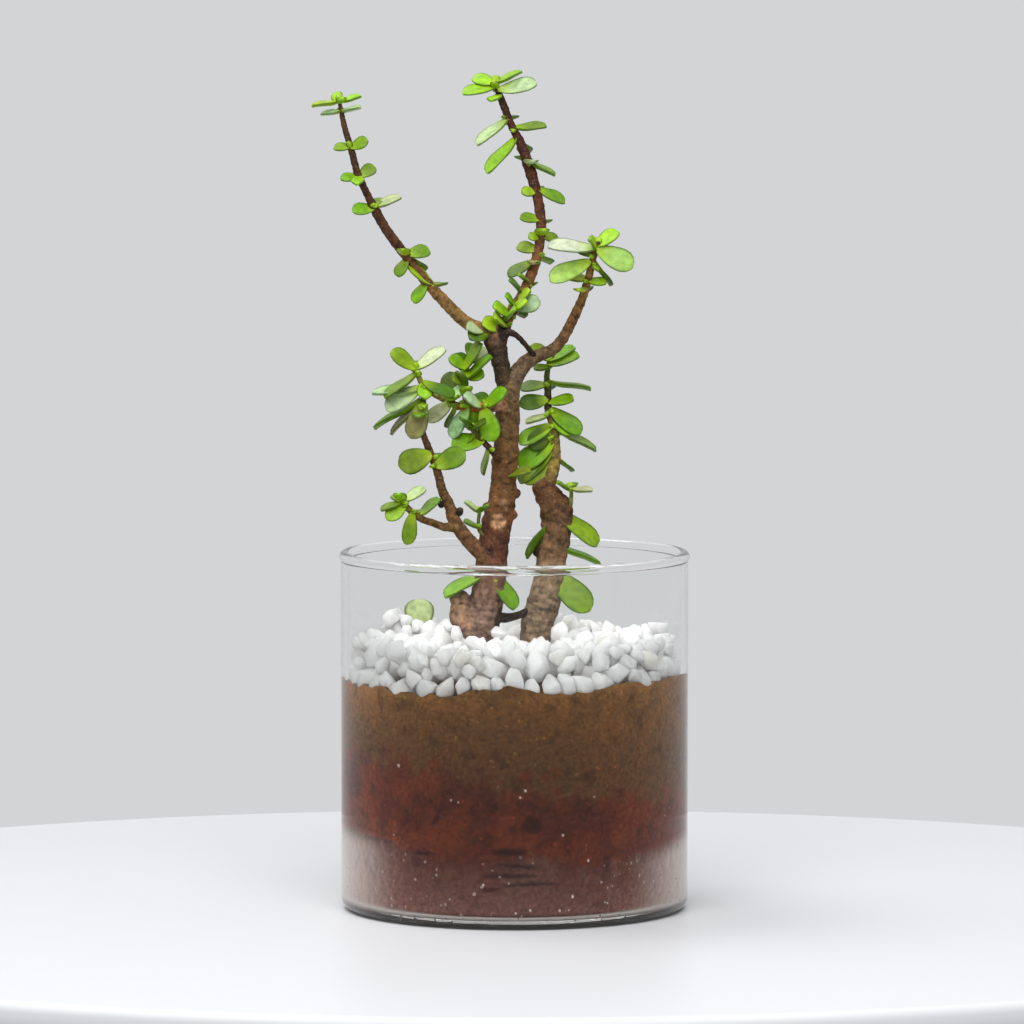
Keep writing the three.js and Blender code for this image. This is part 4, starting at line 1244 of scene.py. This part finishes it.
def leaf_points_of(limb, looks, draw):
    """The limb's leaves, each a little unlike its neighbours, with small new leaves at their roots."""
    points = []
    for station, right, back, up, roll, tone, *width in limb.leaves:
        i = limb.nearest(station)
        root, reach = limb.points[i], Vector((right, back, up))
        tint = tuple(part * draw.uniform(0.85, 1.15) for part in linear(LEAF_TONES[tone]))
        turn, width = draw.uniform(-7, 7), math.prod(width) * draw.uniform(0.92, 1.06)
        points.append(leaf_point(root, reach, roll + turn, tint, looks, width))
        tangent = limb.frames[i][0]
        turn = Quaternion(tangent, draw.uniform(1.2, 2.0) * draw.choice((-1, 1)))
        bud = turn @ reach * draw.uniform(0.2, 0.36) + tangent * draw.uniform(1, 2.4)
        if draw.random() < BUD_SHARE:
            points.append(leaf_point(root, bud, draw.uniform(-30, 30), linear(LEAF_TONES["y"]), looks, 0.8))
    return points


def leaves_on(name, points, looks, material, tree, pattern):
    """One piece of leaves, grown by the leaf tree from what leaf_point gives."""
    made = mesh_object(name, [point["root"] for point in points], [])
    for key, kind in {**LEAF_READS, "tint": "FLOAT_COLOR"}.items():
        store(made.data, key, kind, [point[key] for point in points])
    return run_tree(made, tree, Leaf=pattern, Cup=looks.cup, Droop=looks.droop, Material=material)


def fallen_leaf_point(looks):
    """The loose leaf, which stands in its solid's box with its root among the chips."""
    low, high = [corner / MM for corner in FALLEN_LEAF_BOX]
    inset = FALLEN_LEAF["inset"]
    foot = Vector(((low.x + high.x) / 2, low.y + inset, low.z - FALLEN_LEAF["sunk"]))
    tip = Vector((foot.x, high.y - inset, high.z - FALLEN_LEAF["below_top"]))
    return leaf_point(foot, tip - foot, 0, linear(FALLEN_LEAF["tint"]), looks, FALLEN_LEAF["width"])


# Soil.


def wall_row():
    """The lowest row of chips, as (angle, share of the way from small to large, depth in the soil)."""
    draw, row = random.Random(WALL_SEED), []
    for k in range(WALL_CHIPS):
        angle = math.tau * (k + draw.uniform(-0.2, 0.2)) / WALL_CHIPS
        row.append((angle, draw.random(), DENT_DEPTH * draw.random() ** 1.5))
    return row


WALL_ROW = wall_row()


def dent(x, y):
    """How deep the lowest row of chips presses into the soil along the glass."""
    away, angle = math.hypot(x, y), math.atan2(y, x)
    if away < FILL_RADIUS - DENT_REACH:
        return 0
    nearest = round(angle / math.tau * WALL_CHIPS)
    depths = []
    for k in (nearest - 1, nearest, nearest + 1):
        chip_angle, _, depth = WALL_ROW[k % WALL_CHIPS]
        depths.append(depth * falloff(away * math.sin(chip_angle - angle), DENT_WIDTH))
    return max(depths) * eased(2 * (away - FILL_RADIUS + DENT_REACH) / DENT_REACH)


def soil_top(name, x, y):
    """Height of a layer's top face, which follows its front heights near the glass at the front."""
    row = SOILS[name]
    share = math.hypot(x, y) / FILL_RADIUS
    wave = math.sin(row["waves"] * math.atan2(y, x) + row["phase"])
    height = row["level"] + (row["right"] * x + row["back"] * y) / FILL_RADIUS + row["ripple"] * share * wave
    near_front = eased((share - 0.7) / 0.3) * eased(0.5 - y / FRONT_FADE)
    height = mixed(height, height_along(row["front"], x), near_front)
    return height - dent(x, y) if name == "top" else height


def soil_bottom(name, x, y):
    """Height of a layer's underside: the layer below it, or the glass's bottom and its rounded corner."""
    below = SOILS[name]["on"]
    if below:
        return soil_top(below, x, y)
    radius = math.hypot(x, y)
    into_corner = clamped(radius - CONTACT_RADIUS + CORNER_RADIUS, 0, CORNER_RADIUS)
    start, end = BASE_CONTACT
    gap = mixed(BASE_GAP, FILL_RADIUS - CONTACT_RADIUS, eased((radius - start) / (end - start)))
    return BASE_THICKNESS + gap + CORNER_RADIUS - math.sqrt(CORNER_RADIUS**2 - into_corner**2)


def soil_colour(point):
    """Colour of the soil at a point, where each layer strays a little into the next."""
    x, y, z = point
    blotch = 0.5 + noise.noise(point / 11) + 0.6 * noise.noise(point / 4)
    wander = 0.9 * noise.noise(point / 9) + 0.7 * noise.noise(point / 3.2)
    colour, below = None, None
    for name, row in SOILS.items():
        low, high = soil_bottom(name, x, y), soil_top(name, x, y)
        own = colour_along(row["tones"], clamped((z - low) / (high - low)))
        own = mixed(own, linear(row["blotch"]), row["blotched"] * eased(blotch))
        if below:
            own = mixed(colour, own, eased(0.5 + (z - low) / SOILS[below]["mixing"] + wander))
        colour, below = own, name
    return colour


def pressed_soil(point, looks):
    """How far the soil stands back from the glass at a point, its painted shade, its share of the low painted
    reflection, and its colour.
    """
    x, y, z = point
    distances, _ = noise.voronoi(point / (looks.crumb / MM))
    gap = 1 - eased((distances[1] - distances[0]) / 0.16)
    pocket = eased((noise.noise(point / 7 + Vector((9, 0, 0))) - 0.3) / 0.25)
    # Painted shade in the gaps between crumbs and in the pockets, which also stand back from the glass.
    dark = clamped(0.22 * gap + 0.3 * pocket)
    back = looks.depth / MM * (gap + pocket) / 2
    if y < 0:
        for right, height, half_length, half_height in SOIL_CRACKS:
            bow = 0.8 * noise.noise(Vector((x / 6, height, 0)))
            far = math.hypot((x - right) / half_length, (z - height - bow) / half_height)
            open_share = 1 - eased((far - 0.5) / 0.6)
            # Painted shade in the middle of each crack.
            dark, back = max(dark, CRACK_DARKNESS * open_share), back + CRACK_DEPTH * open_share
    # The low painted reflection: full below the bottom layer's top, fading out above it.
    film = eased(0.35 + (soil_top("bottom", x, y) - z) / PAINTED_REFLECTION_FADE)
    return back, dark, film, soil_colour(point)


def soil_places(name, columns, row_height=0.95):
    """The points of a layer's skin as (x, y, z, whether it is on the wall), and the number of their rings."""
    rows = round((soil_top(name, 0, -FILL_RADIUS) - soil_bottom(name, 0, -FILL_RADIUS)) / row_height)
    shares = [0.3, 0.6, 0.84, 0.95, 0.965, 0.98, 0.99, 0.997]
    rings = [("under", share) for share in shares]
    rings += [("wall", i / rows) for i in range(rows + 1)]
    rings += [("over", share) for share in reversed(shares)]
    places = [(0, 0, soil_bottom(name, 0, 0), False)]
    for kind, share in rings:
        for k in range(columns):
            x, y = on_circle(CONTACT_RADIUS * (1 if kind == "wall" else share), math.tau * k / columns)
            low, high = soil_bottom(name, x, y), soil_top(name, x, y)
            uneven = high + 0.6 * noise.noise(Vector((x, y, 0)) / 5)
            z = {"under": low, "wall": mixed(low, high, share), "over": uneven}[kind]
            places.append((x, y, z, kind == "wall"))
    return [*places, (0, 0, soil_top(name, 0, 0), False)], len(rings)


def soil_layer(name, looks, material, columns=480):
    """One layer as a closed piece, with the relief and colours of soil pressed against the glass."""
    places, rings = soil_places(name, columns)
    vertices, painted_shades, low_painted_reflections, tints = [], [], [], []
    for x, y, z, on_wall in places:
        back, dark, film, tint = pressed_soil(Vector((x, y, z)), looks)
        shrink = (CONTACT_RADIUS - back) / CONTACT_RADIUS if on_wall else 1
        vertices.append(Vector((x * shrink, y * shrink, z)) * MM)
        # Painted shade: from the wall's gaps and cracks, and between the chips on the other faces.
        painted_shades.append(dark if on_wall else PAINTED_SHADE_BETWEEN_CHIPS)
        low_painted_reflections.append(film)
        tints.append(tint)
    made = mesh_object(f"{name}_soil", vertices, ring_skin(0, rings, columns))
    made.data.set_sharp_from_angle(angle=math.radians(55))
    store(made.data, "hollow", "FLOAT", painted_shades)
    store(made.data, "film", "FLOAT", low_painted_reflections)
    store(made.data, "tint", "FLOAT_COLOR", tints)
    return dress(made, f"{name}_soil", f"{name}_soil_layer", material=material)


def grain_tree():
    """Sprinkles turned grains of mixed sizes over a surface, in its own colours."""
    tree, given, read = new_tree(
        "soil_grains", {"tint": "FLOAT_COLOR"},
        Grain=("Object", None), Density=("Float", 26000.0), Smallest=("Float", 0.0003),
        Largest=("Float", 0.0009), Sink=("Float", 0.0003), Seed=("Int", 4),
    )
    spread = add(tree, "GeometryNodeDistributePointsOnFaces", {
        "Mesh": given["Geometry"], "Density": given["Density"], "Seed": given["Seed"],
    }).outputs
    shade, turn, size = [
        add(tree, "FunctionNodeRandomValue", {
            "Min": low, "Max": high, "Seed": given["Seed"],
        }, data_type=kind).outputs["Value"]
        for kind, low, high in (
            ("FLOAT_VECTOR", (0.6, 0.6, 0.6), (1.9, 1.7, 1.5)),
            ("FLOAT_VECTOR", (0, 0, 0), (math.tau, math.tau, math.tau)),
            ("FLOAT", given["Smallest"], given["Largest"]),
        )
    ]
    inwards = add(tree, "ShaderNodeMath", {0: given["Sink"], 1: -1.0}, operation="MULTIPLY").outputs["Value"]
    sunk = add(tree, "ShaderNodeVectorMath", {
        0: spread["Normal"], "Scale": inwards,
    }, operation="SCALE").outputs["Vector"]
    points = add(tree, "GeometryNodeSetPosition", {"Geometry": spread["Points"], "Offset": sunk})
    shaded = add(tree, "ShaderNodeVectorMath", {0: read["tint"], 1: shade}, operation="MULTIPLY")
    tinted = add(tree, "GeometryNodeStoreNamedAttribute", {
        "Geometry": points.outputs["Geometry"], "Name": "tint", "Value": shaded.outputs["Vector"],
    }, data_type="FLOAT_COLOR")
    grain = add(tree, "GeometryNodeObjectInfo", {"Object": given["Grain"]}).outputs["Geometry"]
    placed = add(tree, "GeometryNodeInstanceOnPoints", {
        "Points": tinted.outputs["Geometry"], "Instance": grain, "Rotation": turn, "Scale": size,
    })
    grains = add(tree, "GeometryNodeRealizeInstances", {"Geometry": placed.outputs["Instances"]})
    return end_tree(tree, given, grains.outputs["Geometry"])


def formed(name, shape):
    """An object from a bmesh, which is used up."""
    made = mesh_object(name, [], [])
    shape.to_mesh(made.data)
    shape.free()
    made.data.shade_smooth()
    return made


def grain_pattern(name, draw):
    """An irregular round grain about one across to each side."""
    shape = bmesh.new()
    bmesh.ops.create_icosphere(shape, subdivisions=1, radius=1)
    for vertex in shape.verts:
        vertex.co *= draw.uniform(0.75, 1.1)
    return formed(name, shape)


# Marble chips.


def stone_pattern(name, draw):
    """A crushed stone about one across to each side: the hull of random points, with worn edges."""
    corners = []
    while len(corners) < 12:
        way = Vector([draw.gauss(0, 1) for _ in range(3)]).normalized()
        if all(way.dot(other.normalized()) < 0.8 for other in corners):
            corners.append(way * draw.uniform(0.85, 1.2))
    shares = Vector((1.08, draw.uniform(0.75, 1), draw.uniform(0.62, 0.9)))
    shape = bmesh.new()
    for corner in corners:
        shape.verts.new(corner * shares)
    bmesh.ops.convex_hull(shape, input=shape.verts)
    bmesh.ops.bevel(
        shape, geom=[*shape.verts, *shape.edges], offset=0.07, segments=1, affect="EDGES", clamp_overlap=True
    )
    made = formed(name, shape)
    made.data.set_sharp_from_angle(angle=math.radians(40))
    return made


def chip_level(x, y):
    return CHIP_LEVEL + sum(
        height * falloff(math.hypot(x - cx, y - cy), spread) for cx, cy, height, spread in CHIP_HEAPS
    )


def resting_height(laid, x, y, radius, nearness):
    """Where a chip comes to rest on the soil or on others, or None if it would roll off the one under it."""
    rests = [soil_top("top", x, y) + radius * CHIP_OVER_SOIL]
    for (px, py, pz), other in laid:
        level = ((radius + other) * nearness) ** 2 - (px - x) ** 2 - (py - y) ** 2
        if level > 0:
            rests.append(pz + math.sqrt(level) * NESTED)
    rests.sort()
    rolls_off = len(rests) > 1 and rests[-2] < rests[-1] - radius * CHIP_ROLLS
    return None if rolls_off else rests[-1]


def lowest_place(laid, radius, nearness, depth, draw):
    """Of some random places, the one where a chip rests furthest below the depth under the bed's level."""
    best = (depth, None)
    for _ in range(CHIP_TRIES):
        away = (FILL_RADIUS - radius * CHIP_TO_GLASS) * math.sqrt(draw.random())
        x, y = on_circle(away, draw.uniform(0, math.tau))
        if any(math.hypot(x - fx, y - fy) < reach + radius * CHIP_TO_FOOT for fx, fy, reach in FEET):
            continue
        z = resting_height(laid, x, y, radius, nearness)
        if z is None:
            continue
        spare = chip_level(x, y) - z - radius * CHIP_TOP
        if spare > best[0]:
            best = (spare, Vector((x, y, z)))
    return best[1]


def dropped_chips(looks):
    """Chips as (place, radius), dropped one by one: each comes to rest on the soil or on those below it."""
    draw = random.Random(looks.seed)
    small, large = looks.smallest / MM, looks.largest / MM
    laid = []
    for angle, share, _ in WALL_ROW:
        radius = mixed(small, large, share)
        x, y = on_circle(FILL_RADIUS - radius * 0.6, angle)
        laid.append((Vector((x, y, soil_top("top", x, y) + radius * draw.uniform(0.1, 0.4))), radius))
    # First all of them, and then smaller ones, closer together, where pits are left under the bed's level.
    for least, most, nearness, depth in ((small, large, 0.83, 0), (small * 0.7, small, 0.74, 1.5)):
        misses = 0
        while misses < CHIP_MISSES:
            radius = mixed(least, most, draw.random() ** 1.2)
            place = lowest_place(laid, radius, nearness, depth, draw)
            misses = 0 if place else misses + 1
            if place:
                laid.append((place, radius))
    return laid


def chip_tree():
    """Sets one of several stones on each point, and flattens those that would pass through the glass."""
    tree, given, read = new_tree(
        "marble_bed", {"turn": "FLOAT_VECTOR", "size": "FLOAT", "kind": "INT"},
        Stones=("Collection", None), Radius=("Float", CHIP_LIMIT * MM),
    )
    stones = add(tree, "GeometryNodeCollectionInfo", {
        "Collection": given["Stones"], "Separate Children": True, "Reset Children": True,
    }).outputs["Instances"]
    placed = add(tree, "GeometryNodeInstanceOnPoints", {
        "Points": given["Geometry"], "Instance": stones, "Pick Instance": True,
        "Instance Index": read["kind"], "Rotation": read["turn"], "Scale": read["size"],
    })
    bed = add(tree, "GeometryNodeRealizeInstances", {"Geometry": placed.outputs["Instances"]})
    place = add(tree, "GeometryNodeInputPosition").outputs["Position"]
    flat = add(tree, "ShaderNodeVectorMath", {0: place, 1: (1, 1, 0)}, operation="MULTIPLY").outputs["Vector"]
    away = add(tree, "ShaderNodeVectorMath", {0: flat}, operation="LENGTH").outputs["Value"]
    share = add(tree, "ShaderNodeMath", {0: given["Radius"], 1: away}, operation="DIVIDE").outputs["Value"]
    kept = add(tree, "ShaderNodeMath", {0: share, 1: 1.0}, operation="MINIMUM").outputs["Value"]
    excess = add(tree, "ShaderNodeMath", {0: kept, 1: 1.0}, operation="SUBTRACT").outputs["Value"]
    inwards = add(tree, "ShaderNodeVectorMath", {0: flat, "Scale": excess}, operation="SCALE")
    held = add(tree, "GeometryNodeSetPosition", {
        "Geometry": bed.outputs["Geometry"], "Offset": inwards.outputs["Vector"],
    })
    return end_tree(tree, given, held.outputs["Geometry"])


# Operators, in the order in which main calls them.


class BONSAI_OT_glass(bpy.types.Operator):
    """Turns the clear glass cylinder with its thick bottom and fire-polished rim"""

    bl_idname = "bonsai.glass"
    bl_label = "Glass cylinder"

    def execute(self, context):
        looks = context.scene.bonsai_glass
        profile = [(radius * MM, z * MM) for radius, z in glass_profile(looks)]
        made = turned("glass_cylinder_clear", profile, GLASS_SIDES)
        dress(made, "glass", "glass_cylinder", material=clear_glass(looks))
        return {"FINISHED"}


class BONSAI_OT_soil(bpy.types.Operator):
    """Presses three layers of soil into the glass, with loose grains on them"""

    bl_idname = "bonsai.soil"
    bl_label = "Soil layers"

    def execute(self, context):
        looks = context.scene.bonsai_soil
        tree, grain = grain_tree(), grain_pattern("grain_pattern", random.Random(looks.seed))
        for name, row in SOILS.items():
            material = garden_soil(row["kind"])
            layer = soil_layer(name, looks, material)
            loose = bpy.data.objects.new(f"{name}_soil_grains", layer.data.copy())
            context.scene.collection.objects.link(loose)
            run_tree(loose, tree, Grain=grain, Density=looks.density, Seed=looks.seed, Material=material)
            dress(loose, f"{name}_soil")
        bpy.data.objects.remove(grain)
        return {"FINISHED"}


class BONSAI_OT_perlite(bpy.types.Operator):
    """Scatters white grains in the soil at the glass"""

    bl_idname = "bonsai.perlite"
    bl_label = "White grains"

    def execute(self, context):
        draw = random.Random(context.scene.bonsai_soil.seed)
        grains = [(math.atan2(-math.sqrt(FILL_RADIUS**2 - x * x), x), z, r) for x, z, r in WHITE_GRAINS]
        for _ in range(STRAY_GRAINS):
            angle, z = draw.uniform(0, math.tau), mixed(*STRAY_HEIGHTS, draw.random() ** 2)
            grains.append((angle, z, draw.uniform(*STRAY_RADII)))
        vertices, faces = [], []
        for angle, z, radius in grains:
            middle = Vector((*on_circle(CONTACT_RADIUS - radius * 0.3, angle), z)) * MM
            ball(vertices, faces, middle, radius * MM * draw.uniform(0.7, 1), radius * MM, rings=5, sides=7)
        made = mesh_object("perlite_grains", vertices, faces)
        dress(made, "bottom_soil", material=perlite())
        return {"FINISHED"}


class BONSAI_OT_chips(bpy.types.Operator):
    """Drops marble chips on the soil, round the trunks' feet"""

    bl_idname = "bonsai.chips"
    bl_label = "Marble chips"

    def execute(self, context):
        looks = context.scene.bonsai_chips
        draw = random.Random(looks.seed)
        stones = bpy.data.collections.new("stone_patterns")
        for i in range(looks.kinds):
            stone = stone_pattern(f"stone_{i}", draw)
            context.scene.collection.objects.unlink(stone)
            stones.objects.link(stone)
        laid = dropped_chips(looks)
        made = mesh_object("marble_chip_bed", [place * MM for place, _ in laid], [])
        turns = [[draw.uniform(0, math.tau) for _ in range(3)] for _ in laid]
        store(made.data, "turn", "FLOAT_VECTOR", turns)
        store(made.data, "size", "FLOAT", [radius * MM for _, radius in laid])
        store(made.data, "kind", "INT", [draw.randrange(looks.kinds) for _ in laid])
        store(made.data, "stain", "FLOAT", [0.6 * draw.random() ** 6 for _ in laid])
        run_tree(made, chip_tree(), Stones=stones, Material=white_marble(looks))
        for stone in list(stones.objects):
            bpy.data.objects.remove(stone)
        dress(made, "marble", "marble_chips")
        return {"FINISHED"}


class BONSAI_OT_wood(bpy.types.Operator):
    """Grows the trunks and stems"""

    bl_idname = "bonsai.wood"
    bl_label = "Trunks and stems"

    def execute(self, context):
        material = jade_bark()
        for node in WOOD:
            bark_of(node, context.scene.bonsai_bark, material)
        return {"FINISHED"}


class BONSAI_OT_leaves(bpy.types.Operator):
    """Grows the leaves of each stem, and lays the fallen one on the chips"""

    bl_idname = "bonsai.leaves"
    bl_label = "Leaves"

    def execute(self, context):
        looks = context.scene.bonsai_leaves
        draw = random.Random(looks.seed)
        material, tree, pattern = jade_leaf(), leaf_spray_tree(), leaf_pattern()
        for node, row in WOOD.items():
            points = [point for name in row["limbs"] for point in leaf_points_of(Limb(name), looks, draw)]
            dress(leaves_on(f"{node}_leaves", points, looks, material, tree, pattern), "leaf", node)
        fallen = leaves_on("fallen_jade_leaf", [fallen_leaf_point(looks)], looks, material, tree, pattern)
        dress(fallen, "leaf", "fallen_leaf")
        bpy.data.objects.remove(pattern)
        return {"FINISHED"}


class BONSAI_OT_stage(bpy.types.Operator):
    """Sets the round table, the lights and the camera"""

    bl_idname = "bonsai.stage"
    bl_label = "Stage"

    def execute(self, context):
        scene, looks = context.scene, context.scene.bonsai_stage
        self.set_table(looks)
        scene.camera = self.placed(
            "camera", bpy.data.cameras.new("camera"),
            (CAMERA_AIM.x, -looks.distance, looks.view_height), CAMERA_AIM,
        )
        scene.camera.data.lens = looks.lens
        for name, place, size, power in LIGHTS:
            lamp = bpy.data.lights.new(name, "AREA")
            lamp.size, lamp.energy = size, looks.key * power
            self.placed(name, lamp, place, LIGHT_AIM)
        scene.world = self.surround(looks)
        scene.view_settings.view_transform = "Standard"
        return {"FINISHED"}

    @staticmethod
    def set_table(looks):
        """The oval table top with its rounded edge, as the stage's floor."""
        radius = looks.table_width / 2
        edge = arc(radius - TABLE_EDGE, -TABLE_EDGE, TABLE_EDGE, 0, 1, 5)
        under = [(0, -TABLE_THICKNESS), (radius - TABLE_EDGE / 2, -TABLE_THICKNESS)]
        floor = turned("table", [*under, *edge, (0, 0)], TABLE_SIDES)
        oval = Matrix.Diagonal((1, looks.table_depth / looks.table_width, 1, 1))
        floor.data.transform(Matrix.Translation((0, TABLE_BACK, 0)) @ oval)
        floor.data.materials.append(table_lacquer())

    @staticmethod
    def placed(name, data, place, aim):
        """An object of a camera or lamp at a place, which points at its aim."""
        made = bpy.data.objects.new(name, data)
        made.location = place
        made.rotation_euler = (aim - made.location).to_track_quat("-Z", "Y").to_euler()
        bpy.context.scene.collection.objects.link(made)
        return made

    @staticmethod
    def surround(looks):
        """An even world, which lights dull surfaces a little less than it shows."""
        world = bpy.data.worlds.new("even_surround")
        world.use_nodes = True
        tree = world.node_tree
        path = add(tree, "ShaderNodeLightPath").outputs
        strength = add(tree, "ShaderNodeMix", {
            "Factor": path["Is Diffuse Ray"], "A": 1.0, "B": SURROUND_ON_DULL,
        }, data_type="FLOAT").outputs["Result"]
        set_inputs(tree, tree.nodes["Background"], {"Color": tuple(looks.sky), "Strength": strength})
        return world


OPERATORS = (
    BONSAI_OT_glass, BONSAI_OT_soil, BONSAI_OT_perlite, BONSAI_OT_chips, BONSAI_OT_wood, BONSAI_OT_leaves,
    BONSAI_OT_stage,
)
GROUPS = {
    "bonsai_glass": BonsaiGlass,
    "bonsai_soil": BonsaiSoil,
    "bonsai_chips": BonsaiChips,
    "bonsai_bark": BonsaiBark,
    "bonsai_leaves": BonsaiLeaves,
    "bonsai_stage": BonsaiStage,
}


class BONSAI_PT_panel(bpy.types.Panel):
    """Lists the bonsai's settings and the operators that build it"""

    bl_idname = "BONSAI_PT_panel"
    bl_label = "Jade Bonsai"
    bl_space_type = "VIEW_3D"
    bl_region_type = "UI"
    bl_category = "Bonsai"

    def draw(self, context):
        for name, group in GROUPS.items():
            box = self.layout.box()
            box.label(text=group.__name__.removeprefix("Bonsai"))
            for setting in group.__annotations__:
                box.prop(getattr(context.scene, name), setting)
        for operator in OPERATORS:
            self.layout.operator(operator.bl_idname)


CLASSES = (*GROUPS.values(), *OPERATORS, BONSAI_PT_panel)


def register():
    for item in CLASSES:
        bpy.utils.register_class(item)
    for name, group in GROUPS.items():
        setattr(bpy.types.Scene, name, PointerProperty(type=group))


def unregister():
    for name in GROUPS:
        delattr(bpy.types.Scene, name)
    for item in reversed(CLASSES):
        bpy.utils.unregister_class(item)


def main():
    """Builds every piece in order."""
    register()
    for operator in OPERATORS:
        group, name = operator.bl_idname.split(".")
        getattr(getattr(bpy.ops, group), name)()


if __name__ == "__main__":
    main()
